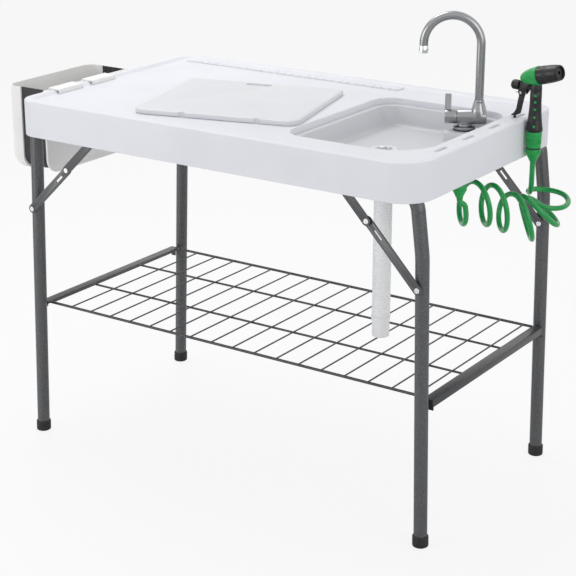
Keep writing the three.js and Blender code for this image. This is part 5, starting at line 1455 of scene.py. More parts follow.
@dataclass(frozen=True)
class LegFrame:
    """One leg frame: a bent tube with its foot caps, pivot blocks, braces and studs."""

    side: Side
    line: tuple[tuple[float, float], ...]
    bends: tuple[float, ...]
    # The brace's pin on the leg, its middle pivot and its pin under the deck, in X and Z.
    low: tuple[float, float]
    middle: tuple[float, float]
    anchor: tuple[float, float]
    radius: float = 16.0
    leg_y: float = 300.0
    foot_z: float = 6.3
    shoulder: float = 32.0
    stud_z: float = 350.2
    link_half: float = 11.0
    link_thick: float = 3.0
    lower_gap: float = 20.5
    upper_gap: float = 26.0
    pin_hole: float = 4.5
    lock_place: float = 40.0
    lock_half: tuple[float, float] = (13.0, 3.0)
    rivet_radius: float = 6.5
    rivet_edge: float = 0.7
    anchor_gap: float = 31.1
    anchor_half: float = 12.0
    anchor_foot: float = 14.0
    block_y: float = 250.0
    block_half: tuple[float, float] = (18.3, 15.0)
    block_bore: float = 16.4

    @property
    def pivot(self) -> tuple[float, float]:
        """Gives the pivot bar's place in X and Z."""
        return self.line[-1]

    def leg_x(self, z: float) -> float:
        """Finds the leg's middle at a height of its straight lower part.

        Args:
            z: The height.

        Returns:
            Its place along the table.
        """
        (x0, z0), (x1, z1) = self.line[0], self.line[1]
        return x0 + (x1 - x0) * (z - z0) / (z1 - z0)

    def along_y(self, radius: float, y0: float, y1: float, x: float, z: float, edge: float = 0.4) -> Shape:
        """Builds a turned piece along Y with eased ends.

        Args:
            radius: Its radius.
            y0: One end.
            y1: The other end.
            x: Its place along the table.
            z: Its height.
            edge: Its eased edge.

        Returns:
            The piece.
        """
        y0, y1 = min(y0, y1), max(y0, y1)
        profile = [(0, y0), (radius - edge, y0), (radius, y0 + edge), (radius, y1 - edge),
                   (radius - edge, y1), (0, y1)]
        return lathe(profile, 28).rotated(-90, Axis.X).moved(x, 0, z)

    def rivet_head(self, y0: float, y1: float, place: tuple[float, float]) -> Shape:
        """Builds a rivet's head.

        Args:
            y0: One end.
            y1: The other end.
            place: Its place in X and Z.

        Returns:
            The head.
        """
        return self.along_y(self.rivet_radius, y0, y1, *place, edge=self.rivet_edge)

    def tube(self) -> Shape:
        """Builds the bent tube with its studs.

        Returns:
            The tube.
        """
        start = (self.leg_x(self.foot_z), self.foot_z)
        front = [Vector((x, -self.leg_y, z)) for x, z in (start, *self.line[1:])]
        rear = [Vector((p.x, self.leg_y, p.z)) for p in reversed(front)]
        radii = [*self.bends, self.shoulder, self.shoulder, *reversed(self.bends)]
        path = rounded([*front, *rear], radii, 12)
        studs = []
        for end in End:
            y = end.sign * self.leg_y
            inner = y - end.sign * 15
            studs.append(self.along_y(4.5, inner, inner - end.sign * 9, self.leg_x(self.stud_z), self.stud_z))
            studs.append(self.along_y(4, y - 14, y - 23.8, *self.low))
        return sweep(path, self.radius, 32) + total(studs)

    def cap(self, end: End) -> Shape:
        """Builds a rubber foot cap with two soft ribs.

        Args:
            end: Which leg it is on.

        Returns:
            The cap.
        """
        profile = [(0, 0.0), (16.5, 0.0), (18.4, 1.4), (19, 4), (19, 19), (18.3, 20), (18.3, 21.2),
                   (19, 22.2), (19, 25), (18.2, 26.6), (16.9, 27.2), (16.6, 26.2), (16.6, 10), (0, 10)]
        (x0, z0), (x1, z1) = self.line[0], self.line[1]
        slope = (x1 - x0) / (z1 - z0)
        shape = lathe(profile, 48)
        for point in shape.points:
            point.x += slope * point.z
        return shape.moved(x0, end.sign * self.leg_y, 0)

    def link(self, a: tuple[float, float], b: tuple[float, float], near: float,
             lock: bool) -> tuple[Shape, list[Shape]]:
        """Builds a flat link with round ends, and what is cut out of it.

        Args:
            a: Its pinned end in X and Z.
            b: The other end.
            near: The plane of its inner face.
            lock: Whether it has the lock's slot.

        Returns:
            The link and its cutters.
        """
        angle, half = math.atan2(b[1] - a[1], b[0] - a[0]), self.link_half
        outline = [(x + half * math.cos(angle + turn), z + half * math.sin(angle + turn))
                   for (x, z), first in ((b, -90), (a, 90)) for turn in fan(first, first + 180, 15)]
        cutters = [self.along_y(self.pin_hole, near + 5, near - 8, *a, edge=0.0)]
        if lock:
            reach, width = self.lock_half
            place = self.lock_place
            bar = box_shape(place - reach, place + reach, near - 8, near + 5, -width, width)
            toward = math.degrees(math.atan2(a[1] - b[1], a[0] - b[0]))
            cutters.append(bar.rotated(-toward, Axis.Y).moved(b[0], 0, b[1]))
        return plate(outline, near - self.link_thick, near), cutters

    def brace(self, level: Level, end: End, a: tuple[float, float], near: float, head: Shape) -> None:
        """Makes one link and its rivet.

        Args:
            level: Which link.
            end: Which leg it is on.
            a: Its pinned end in X and Z.
            near: The plane of its inner face.
            head: The rivet's head.
        """
        name, tag = level.value, f"{self.side.value}_{end.value}"
        shape, cutters = self.link(a, self.middle, near, level is Level.LOWER)
        made = mesh_of(f"{name}_link_{tag}", shape)
        combine(made, cutters)
        ease(made, 0.5, 2)
        finished(made, ZINC, f"link_{name}_{tag}", [f"brace_{name}_{tag}"])
        piece(f"{name}_rivet_{tag}", head, RIVET, f"link_{name}_{tag}")

    def anchor_plate(self, end: End) -> None:
        """Makes the bracket that the upper link hangs on.

        Args:
            end: Which leg it is on.
        """
        tag = f"{self.side.value}_{end.value}"
        x, z = self.anchor
        y, half, thick = end.sign * self.leg_y, self.anchor_half, self.link_thick
        near = y - self.anchor_gap
        bracket = box_shape(x - half, x + half, near - thick, near, z - half, UNDER_DECK)
        reach = self.anchor_foot
        foot_y = (near - thick, near + reach) if end is End.FRONT else (near - thick - reach, near)
        foot = box_shape(x - half, x + half, *foot_y, UNDER_DECK - thick, UNDER_DECK)
        pin = self.along_y(4, near - 1, y - 26, x, z) + self.along_y(7, near - 1, y - 29.3, x, z)
        made = mesh_of(f"anchor_{tag}", bracket)
        combine(made, [foot], Join.ADD)
        ease(made, 0.8, 2)
        self.rivet(made, pin)
        finished(made, ZINC, "table", [f"brace_anchor_{tag}"])

    def braces(self, end: End) -> None:
        """Makes the two links and their anchor.

        Args:
            end: Which leg they are on.
        """
        y = end.sign * self.leg_y
        lower, upper = y - self.lower_gap, y - self.upper_gap
        inner, outer = (y - 21, y - 19), (y - 28.5, y - 30.5)
        self.brace(Level.LOWER, end, self.low, lower, self.rivet_head(*inner, self.middle))
        self.brace(Level.UPPER, end, self.anchor, upper, self.rivet_head(*outer, self.middle))
        self.anchor_plate(end)

    @staticmethod
    def rivet(target: bpy.types.Object, head: Shape) -> None:
        """Puts a turned pin into a plate's mesh.

        Args:
            target: The plate.
            head: The pin.
        """
        extra = mesh_of(f"{target.name}_head", head)
        work = bmesh.new()
        work.from_mesh(target.data)
        work.from_mesh(extra.data)
        work.to_mesh(target.data)
        work.free()
        bpy.data.objects.remove(extra)

    def block(self, end: End) -> None:
        """Makes a pivot block.

        Args:
            end: Which side it is on.
        """
        tag = f"{self.side.value}_{end.value}"
        x, z = self.pivot
        y = end.sign * self.block_y
        half, reach = self.block_half
        outline = [(x + half, UNDER_DECK), (x - half, UNDER_DECK)]
        outline += [(x + half * math.cos(a), z + half * math.sin(a)) for a in fan(180, 360, 15)]
        piece(f"pivot_saddle_{tag}", plate(outline, y - reach, y + reach), BLACK, "table",
              [f"pivot_block_{tag}"], 0.8,
              cuts=[self.along_y(self.block_bore, y - 20, y + 20, x, z, edge=0.0)])

    def build(self) -> None:
        """Makes the whole frame."""
        name = self.side.value
        piece(f"bent_legs_{name}", self.tube(), LEGS, f"legs_{name}", [f"leg_frame_{name}"], angle=40)
        for end in End:
            y = end.sign * self.leg_y
            piece(f"stud_head_{name}_{end.value}", self.rivet_head(y - 23.7, y - 25.6, self.low), RIVET,
                  f"legs_{name}")
            piece(f"rubber_foot_{name}_{end.value}", self.cap(end), FOOT_RUBBER, f"legs_{name}",
                  [f"foot_cap_{name}_{end.value}"])
            self.block(end)
            self.braces(end)


@dataclass(frozen=True)
class Shelf:
    """The wire shelf with its end bars and hooks."""

    top: float = 360.0
    wire_drop: float = 1.25
    half_width: float = 271.7
    rail_radius: float = 3.5
    middle_radius: float = 2.8
    wire_radius: float = 2.0
    first_x: float = -550.0
    pitch: float = 64.4
    count: int = 18
    middle_ys: tuple[float, ...] = (-100.0, 95.0)
    wire_steps: int = 8
    bar_half: float = 275.7
    bar_thick: float = 2.5
    bar_drop: float = 18.0
    hook_ys: tuple[float, float] = (276.0, 279.0)
    hook_jaw: float = 14.0
    hook_drop: float = 26.0

    def ends(self, side: Side) -> tuple[float, float, float]:
        """Reads an end bar's place from its solid.

        Args:
            side: Which end.

        Returns:
            Its inner and outer planes, and the hook's jaw plane.
        """
        low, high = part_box(f"shelf_end_bar_{side.value}")
        inner, outer = ((high.x, low.x) if side is Side.LEFT else (low.x, high.x))
        sign = -1 if side is Side.LEFT else 1
        inner, outer = (inner - SHIFT) / MM, (outer - SHIFT) / MM
        return inner, outer, outer - sign * self.hook_jaw

    def build(self) -> None:
        """Makes the shelf."""
        self.grid()
        for side in Side:
            self.bar(side)

    def grid(self) -> None:
        """Makes the wires: two rails, two thinner bars between them and the cross wires."""
        left, right = self.ends(Side.LEFT)[0] + 0.3, self.ends(Side.RIGHT)[0] - 0.3
        z, half = self.top - self.wire_drop, self.half_width - 1
        rails = [(-self.half_width, self.rail_radius), (self.half_width, self.rail_radius),
                 *((y, self.middle_radius) for y in self.middle_ys)]
        wires = [sweep([Vector((left, y, z)), Vector((right, y, z))], radius, 14) for y, radius in rails]
        for number in range(self.count):
            x = self.first_x + number * self.pitch
            line = [Vector((x, -half + 2 * half * k / self.wire_steps, z + self.wire_radius))
                    for k in range(self.wire_steps + 1)]
            wires.append(sweep(line, self.wire_radius, 12))
        piece("wire_grid", total(wires), WIRES, "shelf", ["shelf_grid"], angle=50)

    def bar(self, side: Side) -> None:
        """Makes an end bar and its two hooks.

        Args:
            side: Which end.
        """
        inner, outer, jaw = self.ends(side)
        sign = -1 if side is Side.LEFT else 1
        top, low, tip = self.top, self.top - self.bar_drop, self.top - self.hook_drop
        web, under = outer - sign * self.bar_thick, top - self.bar_thick
        bar = [(inner, top), (inner, under), (web, under), (web, low), (outer, low), (outer, top)]
        piece(f"end_bar_{side.value}", plate(bar, -self.bar_half, self.bar_half), WIRES, "shelf",
              [f"shelf_end_bar_{side.value}"], 0.8)
        hook = [(inner, top), (inner, top - 5), (jaw, top - 5), (jaw, tip), (outer, tip), (outer, top)]
        for end in End:
            ys = sorted(end.sign * y for y in self.hook_ys)
            piece(f"hook_plate_{side.value}_{end.value}", plate(hook, *ys), WIRES, "shelf",
                  [f"shelf_hook_{side.value}_{end.value}"], 0.7)


@dataclass(frozen=True)
class CuttingBoard:
    """The loose cutting board, turned a little on the deck."""

    x: float = -99.0
    y: float = -49.0
    z: float = 907.3
    turn: float = 14.5
    length: float = 420.0
    width: float = 372.0
    thickness: float = 13.0
    corners: tuple[float, float, float, float] = (26.0, 32.0, 18.0, 18.0)
    grip: tuple[float, float] = (-47.0, 23.0)
    grip_ys: tuple[float, float] = (35.0, 17.0)
    grip_radius: float = 9.0
    notch_xs: tuple[float, ...] = (-80.0, 111.0)
    notch_half: float = 8.0
    notch_depth: float = 4.0

    def build(self) -> None:
        """Makes the board."""
        half_x, half_y, t = self.length / 2, self.width / 2, self.thickness
        slab = Outline(-half_x, half_x, -half_y, half_y, self.corners, 12)
        levels = [(2.5, 0), (0.7, 0.7), (0, 2.5), (0, t - 4), (0.6, t - 2.2), (2.4, t - 0.9), (5.5, t - 0.2),
                  (8, t), (9.5, t)]
        slot = Outline(*self.grip, *(half_y - y for y in self.grip_ys), (self.grip_radius,) * 4, 8)
        cuts = [slot.stack([(0, -5), (0, t - 1.5), (-0.6, t - 0.4), (-1.8, t + 0.1), (-1.8, t + 6)])]
        for x in self.notch_xs:
            notch = Outline(x - self.notch_half, x + self.notch_half, -half_y - 12,
                            -half_y + self.notch_depth, (2, 2, 3, 3), 4)
            cuts.append(notch.stack([(0, -5), (0, t + 5)]))
        turn = Matrix.Rotation(math.radians(self.turn), 4, "Z")
        place = Matrix.Translation((self.x, self.y, self.z)) @ turn
        piece("filleting_board", slab.stack(levels).changed(place), BOARD, "board", ["cutting_board"],
              cuts=[cut.changed(place) for cut in cuts], angle=30)


@dataclass(frozen=True)
class Tap:
    """The tap: base, arm, swivelling spout and side lever."""

    x: float = 440.0
    y: float = 180.0
    turn: float = 206.57
    reach: float = 136.0
    spout_radius: float = 10.3
    top: float = 1154.0
    tip: float = 1071.0
    arm_z: float = 900.0
    base: float = 33.5
    foot: float = 27.0
    arm_radius: float = 17.5
    neck: float = 12.0
    joint: float = 937.3
    arch_steps: int = 36
    blade: tuple[float, float] = (66.0, 81.0)
    blade_top: float = 955.0
    blade_half: float = 2.5

    def placed(self, shape: Shape) -> Shape:
        """Turns a shape of the tap's own frame into the table's."""
        return shape.rotated(self.turn, Axis.Z).moved(self.x, self.y, 0)

    def along(self, profile: Profile, sides: int = 56) -> Shape:
        """Builds a turned piece along the arm.

        Args:
            profile: Radius and place pairs.
            sides: Faces around.

        Returns:
            The piece.
        """
        return lathe(profile, sides).rotated(90, Axis.Y).moved(0, 0, self.arm_z)

    def build(self) -> None:
        """Makes the tap."""
        self.body()
        self.spout()
        self.lever()

    def body(self) -> None:
        """Makes the gasket, the stand with its arm, and the nut under the basin."""
        foot, arm = self.foot, self.arm_radius
        gasket = lathe([(11.5, 868.3), (foot - 0.6, 868.3), (foot, 869), (foot, 870.6), (foot - 0.6, 871.3),
                        (11.5, 871.3), (11.5, 868.3)], 56)
        piece("tap_gasket", self.placed(gasket.moved(self.base, 0, 0)), BAND_RUBBER, "table",
              ["faucet_gasket"])
        stand = lathe([(0, 838), (11, 838), (11, 871.6), (foot - 0.4, 871.6), (foot, 872.2), (foot, 875.4),
                       (25.6, 877.2), (19.5, 878.4), (17.4, 880), (17, 883), (17, 899), (0, 899)], 56)
        bar = self.along([(0, -19), (14.5, -19), (16.7, -17.8), (arm, -15.6), (arm, 50.6), (17.0, 51.4),
                          (16.2, 52), (0, 52)])
        socket = lathe([(0, 899), (18, 899), (18, 919.5), (17.4, 921), (13.4, 934.6), (12.5, 936.2),
                        (11.8, 937), (0, 937)], 56)
        made = mesh_of("tap_arm", self.placed(bar))
        combine(made, [self.placed(stand.moved(self.base, 0, 0)), self.placed(socket)], Join.ADD)
        ease(made, 0.8, 2, 40)
        finished(made, BRUSHED, "table", ["faucet_body"])
        nut = lathe([(11.3, 855.7), (19.2, 855.7), (20, 856.5), (20, 862.9), (19.2, 863.7), (11.3, 863.7),
                     (11.3, 855.7)], 6)
        piece("tap_nut", self.placed(nut.moved(self.base, 0, 0)), BLACK, "table", ["faucet_nut"])

    def spout(self) -> None:
        """Makes the arched spout and its tip."""
        half, neck, joint = self.reach / 2, self.neck, self.joint
        arch = self.top - self.spout_radius - half
        path = [Vector((0, 0, joint)), Vector((0, 0, 960)), Vector((0, 0, arch - 20))]
        turns = [math.pi * k / self.arch_steps for k in range(self.arch_steps + 1)]
        path += [Vector((half * (1 - math.cos(turn)), 0, arch + half * math.sin(turn))) for turn in turns]
        path.append(Vector((self.reach, 0, self.tip)))
        collar = lathe([(0, joint), (neck - 0.4, joint), (neck, 938), (neck, 941), (11.2, 942.3), (0, 942.3)])
        piece("swan_neck", self.placed(sweep(path, self.spout_radius, 40) + collar), BRUSHED, "spout",
              ["faucet_spout"], angle=40)
        top = self.tip - 0.3
        cup = lathe([(0, top - 9), (8, top - 9), (8, top - 18), (10.3, top - 18), (11, top - 17),
                     (11, top - 14.6), (10.5, top - 14.2), (10.5, top - 12.8), (11, top - 12.4),
                     (11, top - 1), (10.4, top), (0, top)])
        piece("spout_tip", self.placed(cup.moved(self.reach, 0, 0)), CHROME, "spout", ["faucet_aerator"])

    def lever(self) -> None:
        """Makes the lever: a short barrel at the arm's end with an upright blade."""
        arm, (left, right), top = self.arm_radius, self.blade, self.blade_top
        barrel = self.along([(0, 52.3), (16.6, 52.3), (17.2, 52.8), (arm, 53.6), (arm, 78.6), (16.4, 80.4),
                             (14.5, 81), (0, 81)])
        outline = [(left, 900), (right, 900), (right, top - 1.5), (right - 1.5, top), (left + 1.5, top),
                   (left, top - 1.5)]
        made = mesh_of("tap_lever", self.placed(barrel))
        combine(made, [self.placed(plate(outline, -self.blade_half, self.blade_half))], Join.ADD)
        ease(made, 1.0, 3, 40)
        finished(made, BRUSHED, "lever", ["faucet_lever"])


@dataclass(frozen=True)
class Drain:
    """The drain fitting, its nut and the lift-out basket."""

    bore: float = 14.4
    seat: float = 21.0
    flange: float = 34.0
    lug_count: int = 12
    cup_radius: float = 20.6
    cup_floor: float = 833.6
    hole_radius: float = 2.2
    hole_rings: tuple[tuple[float, int], ...] = ((8.5, 6), (14.6, 12))

    def build(self) -> None:
        """Makes the drain."""
        bore, seat, flange = self.bore, self.seat, self.flange
        ring = [(bore, 775), (17.4, 775), (17.4, 803), (24, 806), (24, 842.3), (flange - 0.6, 842.3),
                (flange, 842.9), (flange - 0.6, 844.4), (31.5, 845.3), (22.2, 845.3), (21.2, 844.4),
                (seat, 843.4), (seat, 833.3), (bore, 830.3), (bore, 775)]
        piece("drain_fitting", lathe(ring, 64).moved(*DRAIN_PLACE, 0), WHITE, "table", ["drain_body"])
        nut = [(24.3, 827.7), (30.8, 827.7), (32, 828.6), (32, 835.8), (30.8, 836.7), (24.3, 836.7),
               (24.3, 827.7)]
        lug = box_shape(30, 32.6, -2.4, 2.4, 828.4, 836)
        lugs = [lug.rotated(360 / self.lug_count * number, Axis.Z) for number in range(self.lug_count)]
        piece("drain_nut", (lathe(nut, 64) + total(lugs)).moved(*DRAIN_PLACE, 0), BLACK, "table",
              ["drain_locknut"], 0.4)
        cup, low = self.cup_radius, self.cup_floor
        bowl = [(0, low), (cup, low), (cup, 844.6), (20, 845.3), (19, 845.3), (18.6, 844.6), (18.6, low + 2),
                (4, low + 2), (4, low + 7.6), (2.8, low + 9), (0, low + 9)]
        wide = self.hole_radius
        hole = lathe([(0, low - 4), (wide, low - 4), (wide, low + 5), (0, low + 5)], 14)
        holes = [hole.moved(radius * math.cos(angle), radius * math.sin(angle), 0)
                 for radius, count in self.hole_rings for angle in around(count)]
        piece("drain_sieve", lathe(bowl).moved(*DRAIN_PLACE, 0), CHROME, "basket", ["drain_basket"],
              cuts=[cut.moved(*DRAIN_PLACE, 0) for cut in holes])


@dataclass(frozen=True)
class Supply:
    """The water spigot under the rim and the green connector on it."""

    stem_radius: float = 9.0
    stem_flange: float = 17.0
    connector_radius: float = 16.0
    connector_bore: float = 9.35
    rib_count: int = 18

    def build(self) -> None:
        """Makes the spigot and connector."""
        stem, flange = self.stem_radius, self.stem_flange
        spigot = lathe([(0, 804), (stem, 804), (stem, 894.7), (flange - 0.8, 894.7), (flange, 895.5),
                        (flange, UNDER_DECK), (0, UNDER_DECK)])
        piece("water_spigot", spigot.moved(*INLET_PLACE, 0), BLACK, "table", ["hose_spigot"])
        wall, bore = self.connector_radius, self.connector_bore
        shell = lathe([(0, 786), (8.4, 786), (9, 786.8), (9.4, 789), (15.4, 800.6), (wall, 802),
                       (wall, 812.6), (15.2, 814.4), (14, 816), (bore, 816), (bore, 803.7), (0, 803.7)])
        rib = box_shape(14.6, 16.4, -0.9, 0.9, 802.5, 812)
        ribs = [rib.rotated(360 / self.rib_count * number, Axis.Z) for number in range(self.rib_count)]
        piece("green_connector", (shell + total(ribs)).moved(*INLET_PLACE, 0), GREEN, "table",
              ["hose_connector"], 0.3)


@dataclass(frozen=True)
class SprayGun:
    """The spray gun that hangs by its rear lever in a tool slot."""

    x: float = 594.0
    y: float = 168.5
    turn: float = -10.0
    axis_x: float = 9.0
    axis_z: float = 1023.0
    rise: float = 15.0
    pin_x: float = -38.0
    pin_z: float = 976.0
    axle_z: float = 992.0
    collar_radius: float = 17.5
    grip_radius: float = 13.8
    body_length: float = 52.0
    nozzle_radius: float = 21.5
    nozzle_bore: float = 14.0
    jet_ring: float = 11.2
    flute_ring: float = 22.4
    knob_x: float = -67.0
    knob_radius: float = 11.0
    lever_planes: tuple[float, float] = (-5.35, 1.65)
    pin_radius: float = 3.2
    dot_side: tuple[float, float] = (0.52, -0.854)
    # Height and grip radius at each dot.
    dots: Profile = ((903.5, 18.2), (925.0, 15.6), (943.5, 14.1), (961.0, 13.5), (976.0, 13.4))

    def placed(self, shape: Shape) -> Shape:
        """Turns a shape of the gun's own frame into the table's."""
        return shape.rotated(self.turn, Axis.Z).moved(self.x, self.y, 0)

    def barrel(self, profile: Profile, sides: int = 56) -> Shape:
        """Builds a turned piece about the barrel.

        Args:
            profile: Radius and place pairs.
            sides: Faces around.

        Returns:
            The piece.
        """
        return self.on_barrel(lathe(profile, sides))

    def on_barrel(self, shape: Shape) -> Shape:
        """Lays a shape from about Z along the barrel."""
        return shape.rotated(90 - self.rise, Axis.Y).moved(self.axis_x, 0, self.axis_z)

    def handle(self) -> None:
        """Makes the connector, rings, collar and handle."""
        wide, grip = self.collar_radius, self.grip_radius
        tail = lathe([(0, 815), (7, 815), (7.6, 815.8), (8.4, 818), (16.6, 833), (wide, 835.4), (wide, 844.6),
                      (16.8, 846.5), (0, 846.5)])
        ribs = [box_shape(16.4, 18.0, -1, 1, 836, 844).rotated(20 * k, Axis.Z) for k in range(18)]
        piece("gun_tail", self.placed(tail + total(ribs)), GREEN, "gun", ["gun_connector"], 0.3)
        ring = lathe([(0, 846.8), (16.6, 846.8), (17, 847.4), (17, 849), (16.6, 849.6), (0, 849.6)])
        piece("gun_ring", self.placed(ring), BAND_RUBBER, "gun", ["gun_seal_ring"])
        collar = lathe([(0, 849.9), (16.4, 849.9), (17.3, 851), (wide, 858), (18.1, 860), (18.3, 872),
                        (18.7, 874), (18.7, 886.6), (17.9, 888.9), (0, 888.9)])
        grooves = [box_shape(17.4, 20, -0.8, 0.8, 861, 872).rotated(15 * k, Axis.Z) for k in range(24)]
        piece("gun_coupling", self.placed(collar), GREEN, "gun", ["gun_collar"],
              cuts=[self.placed(total(grooves))])
        handle = lathe([(0, 889.2), (18.6, 889.2), (20, 891), (19.9, 895), (18.4, 903), (16.5, 918),
                        (14.9, 936), (13.9, 954), (grip, 968), (grip, 982.6), (13, 984.2), (0, 984.2)], 56)
        piece("gun_grip", self.placed(handle), BLACK, "gun", ["gun_handle"], angle=45)
        sleeve = lathe([(11.6, 984.3), (13.6, 984.3), (13.7, 990), (13.2, 998), (12.4, 1001), (11.6, 1001),
                        (11.6, 984.3)])
        piece("gun_sleeve", self.placed(sleeve), BLACK, "gun", angle=45)
        self.grip_dots()

    def grip_dots(self) -> None:
        """Makes the row of green dots on the grip."""
        dots = []
        side_x, side_y = self.dot_side
        facing = math.degrees(math.atan2(side_y, side_x))
        dot = lathe([(0, 0), (3.0, 0), (3.0, 1.0), (2.4, 1.7), (0, 1.9)], 24).rotated(90, Axis.Y)
        for z, radius in self.dots:
            dots.append(dot.rotated(facing, Axis.Z).moved(radius * side_x, radius * side_y, z))
        piece("grip_dots", self.placed(total(dots)), GREEN, "gun")

    def head(self) -> None:
        """Makes the body with the black lugs that carry the trigger's pin."""
        back = -self.body_length
        shell = self.barrel([(0, back), (8.6, back), (10, -50.6), (12.4, -47), (16.4, -38), (19.8, -24),
                             (21.8, -9), (22.5, -3), (22.5, -1), (21.8, 0), (0, 0)])
        made = mesh_of("gun_shell", self.placed(shell))
        neck = lathe([(0, 984.5), (11.5, 984.5), (11.5, 1011), (0, 1011)], 40)
        combine(made, [self.placed(neck)], Join.ADD)
        ease(made, 1.0, 3, 40)
        finished(made, GREEN, "gun", ["gun_body"])
        axle = lathe([(0, -45.7), (7, -45.7), (7, -11), (0, -11)], 32).rotated(90, Axis.Y)
        lugs = mesh_of("gun_lugs", self.placed(axle.moved(0, 0, self.axle_z)))
        x, z = self.pin_x, self.pin_z
        outline = [(x - 4, z - 8), (x + 8, z - 4), (-11.5, 1000.2), (-11.5, 1015), (x + 8, 1015),
                   (x - 8, z + 4)]
        sides = [plate(outline, *sorted((sign * 7, sign * 9.5))) for sign in (-1, 1)]
        combine(lugs, [self.placed(side) for side in sides], Join.ADD)
        ease(lugs, 0.8, 2, 40)
        finished(lugs, BLACK, "gun", [])

    def nozzle(self) -> None:
        """Makes the nozzle with its jets and flutes."""
        wide, bore = self.nozzle_radius, self.nozzle_bore
        tip = [(0, 0.3), (20.6, 0.3), (wide, 1.4), (wide, 19), (20.9, 20), (20.9, 21.6), (21.3, 22.6),
               (20.7, 36), (19.4, 49), (18, 56.8), (17.2, 58.3), (15, 58.3), (bore, 57.2), (bore, 54.3),
               (9, 53.6), (4, 54.3), (4, 46.3), (0, 46.3)]
        made = mesh_of("gun_nozzle_head", self.placed(self.barrel(tip, 64)))
        jet = lathe([(0, 50), (0.9, 50), (0.9, 60), (0, 60)], 10)
        flute = lathe([(0, 4), (1.5, 4), (1.5, 17), (0, 17)], 10)
        cuts = [shape.moved(ring * math.cos(angle), ring * math.sin(angle), 0)
                for shape, ring, count in ((jet, self.jet_ring, 12), (flute, self.flute_ring, 20))
                for angle in around(count)]
        combine(made, [self.placed(self.on_barrel(total(cuts)))])
        finished(made, BLACK, "nozzle", ["gun_nozzle"])

    def knob(self) -> None:
        """Makes the knob behind the body."""
        wide = self.knob_radius
        dial = lathe([(0, 0), (8, 0), (10, 0.8), (wide, 2.4), (wide, 19.6), (10, 21), (0, 21)])
        ridges = [box_shape(10.4, 11.6, -0.9, 0.9, 3, 19).rotated(24 * k, Axis.Z) for k in range(15)]
        shape = (dial + total(ridges)).rotated(90, Axis.Y).moved(self.knob_x, 0, self.axle_z)
        piece("gun_dial", self.placed(shape), BLACK, "knob", ["gun_knob"], 0.3)

    def lever(self) -> None:
        """Makes the trigger, its pin and the lock clip."""
        far, near = self.lever_planes
        path = [(-44.5, 982.5), (-44.5, 969.5), (-47, 960), (-49.2, 947), (-51.5, 935), (-57.9, 925),
                (-66.6, 918.6), (-66.6, 918), (-57.9, 918), (-57.9, 909), (-55.4, 909), (-55.4, 918),
                (-42.4, 924.5), (-39.5, 933), (-36.8, 947), (-34, 960), (-31.5, 969.5), (-31.5, 982.5)]
        hole = lathe([(0, -14), (3.6, -14), (3.6, 14), (0, 14)], 24).rotated(90, Axis.X)
        hole = self.placed(hole.moved(self.pin_x, 0, self.pin_z))
        piece("gun_lever", self.placed(plate(path, far, near)), BLACK, "trigger", ["gun_trigger"], 0.9,
              cuts=[hole])
        wide = self.pin_radius
        pin = lathe([(0, -10.5), (wide - 0.6, -10.5), (wide, -9.9), (wide, 9.9), (wide - 0.6, 10.5),
                     (0, 10.5)], 28).rotated(90, Axis.X)
        piece("gun_pin", self.placed(pin.moved(self.pin_x, 0, self.pin_z)), CHROME, "gun",
              ["gun_trigger_pin"])
        clip = [(-31.5, 982), (-41, 982), (-57, 977.5), (-60, 979), (-60, 973), (-41, 970), (-31.5, 970)]
        piece("gun_clip", self.placed(plate(clip, near + 0.3, near + 3.3)), CHROME, "clip",
              ["gun_lock_clip"], 0.6, cuts=[hole])

    def build(self) -> None:
        """Makes the whole gun."""
        self.handle()
        self.head()
        self.nozzle()
        self.knob()
        self.lever()


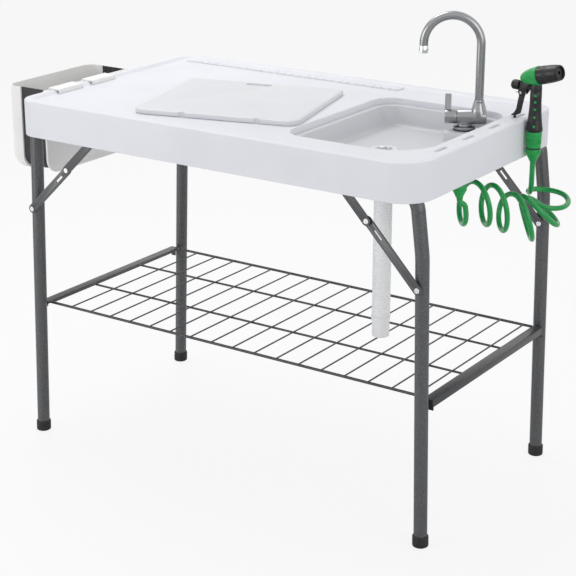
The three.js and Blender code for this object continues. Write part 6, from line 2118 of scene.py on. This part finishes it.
@dataclass(frozen=True)
class Bin:
    """The folding bin on the left rim: a front shell, a flexible band and a back with two hooks."""

    back: float = -573.3
    depth: float = 136.0
    front_y: float = -240.0
    rear_y: float = 90.0
    top: float = 914.0
    bottom: float = 695.0
    wall: float = 3.5
    edge: float = 38.0
    corner: float = 34.0
    shell_depth: float = 52.0
    hook_starts: tuple[float, ...] = (-220.0, -92.0)
    hook_width: float = 92.0
    hook_tip: float = -543.7
    hook_top: float = 918.3
    hook_under: float = 914.3
    hook_thick: float = 3.0
    back_thick: float = 6.0
    joint: float = 0.3
    folds: int = 5
    fold_steps: int = 6
    band_inset: float = 4.0
    fold_depth: float = 1.6
    band_thick: float = 2.6
    band_keep: float = 0.885

    def outline(self) -> Outline:
        """Gives the tub's outline, which runs on past the back plane."""
        return Outline(self.back - self.depth, self.back + 2 * self.edge, self.front_y, self.rear_y,
                       (self.corner,) * 4)

    def levels(self, inset: float, extra: float = 0.0) -> list[tuple[float, float]]:
        """Gives the tub's rounded lower edge and its walls.

        Args:
            inset: How far inside the outer face.
            extra: How far past the rim it runs.

        Returns:
            Inset and height pairs.
        """
        base = self.bottom + inset
        low = [(inset + self.edge * (1 - math.sin(a)), base + self.edge * (1 - math.cos(a)))
               for a in (math.pi / 2 * k / 10 for k in range(11))]
        return [*low, (inset, self.top + extra)]

    def slice(self, x0: float, x1: float) -> Shape:
        """Gives the block outside which a part of the tub is cut away."""
        return box_shape(x0, x1, self.front_y - 30, self.rear_y + 30, self.bottom - 30, self.top + 30)

    def build(self) -> None:
        """Makes the bin."""
        tub = self.outline()
        shell_back = self.back - self.depth + self.shell_depth
        shell = mesh_of("bin_outer_shell", tub.stack(self.levels(0)))
        combine(shell, [tub.stack(self.levels(self.wall, 20))])
        combine(shell, [self.slice(self.back - self.depth - 20, shell_back)], Join.KEEP)
        ease(shell, 0.9, 2, 50)
        finished(shell, BIN_SHELL, "bin_front", ["bin_shell"], 30)
        inner = self.back - self.back_thick
        start, end = shell_back + self.joint, inner - self.joint
        band = mesh_of("bin_band", self.band_wall(start, end))
        finished(band, BAND_RUBBER, "bin", ["bin_fold_band"], 60)
        metres(end, self.front_y, self.bottom)
        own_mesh(band)
        back = mesh_of("bin_back_plate", tub.stack(self.levels(0)))
        combine(back, [self.slice(inner, self.back)], Join.KEEP)
        combine(back, [plate(self.hook(), y, y + self.hook_width) for y in self.hook_starts], Join.ADD)
        ease(back, 1.2, 3, 50)
        finished(back, BIN_SHELL, "bin", ["bin_back"], 30)

    def hook(self) -> list[tuple[float, float]]:
        """Gives a hook's outline in X and Z, over the rim and a little down behind it."""
        inner, lip, under, low = self.back - self.back_thick, self.hook_tip, self.hook_under, 907.3
        return [(inner, 909), (self.back, 909), (self.back, under), (lip, under), (lip, low),
                (lip + self.hook_thick, low), (lip + self.hook_thick, self.hook_top), (inner, self.hook_top)]

    def section(self, x: float, inset: float) -> list[Point]:
        """Gives the U-shaped line of the band's wall at a plane.

        Args:
            x: The plane.
            inset: How far the line lies inside the tub.

        Returns:
            The line, from the front edge round to the rear one.
        """
        low, high = self.bottom + inset, self.top
        front, rear = self.front_y + inset, self.rear_y - inset
        arcs = [(front + self.edge * (1 - math.sin(a)), low + self.edge * (1 - math.cos(a)))
                for a in (math.pi / 2 * k / 8 for k in range(9))]
        left = [(front, high), *reversed(arcs)]
        right = [(front + rear - y, z) for y, z in reversed(left)]
        return [(x, y, z) for y, z in (*left, *right)]

    def band_wall(self, start: float, end: float) -> Shape:
        """Builds the flexible band as one thin folded wall, open at the top.

        Args:
            start: Its outer plane along X.
            end: Its inner plane.

        Returns:
            The wall.
        """
        steps = self.folds * self.fold_steps
        rings: list[list[Point]] = []
        for k in range(steps + 1):
            x = start + (end - start) * k / steps
            wave = 0.5 - 0.5 * math.cos(2 * math.pi * k / self.fold_steps)
            inset = self.band_inset + self.fold_depth * wave
            rings.append([*self.section(x, inset), *reversed(self.section(x, inset + self.band_thick))])
        return loft(rings)


def build_table() -> None:
    """Builds the studio and every sub-assembly in turn."""
    left = LegFrame(Side.LEFT, line=((-582.0, 0.0), (-550.7, 868.0)), bends=(), low=(-559.424, 626.057),
                    middle=(-434.01, 747.03), anchor=(-308.6, 868.0))
    right = LegFrame(Side.RIGHT, line=((582.0, 0.0), (566.0, 700.0), (551.0, 815.0), (512.0, 868.0)),
                     bends=(260.0, 50.0), low=(567.623, 629.0), middle=(437.83, 766.49),
                     anchor=(342.0, 868.0))
    for part in (Studio(), CurlyHose(), DrainHose(), TableTop(), Basin(), left, right, Shelf(),
                 CuttingBoard(), Tap(), Drain(), Supply(), SprayGun(), Bin()):
        part.build()
        LOG.info("%s is built", type(part).__name__)


def main() -> None:
    """Builds and dresses the table."""
    logging.basicConfig(level=logging.INFO, format="%(message)s")
    build_table()


if __name__ == "__main__":
    main()
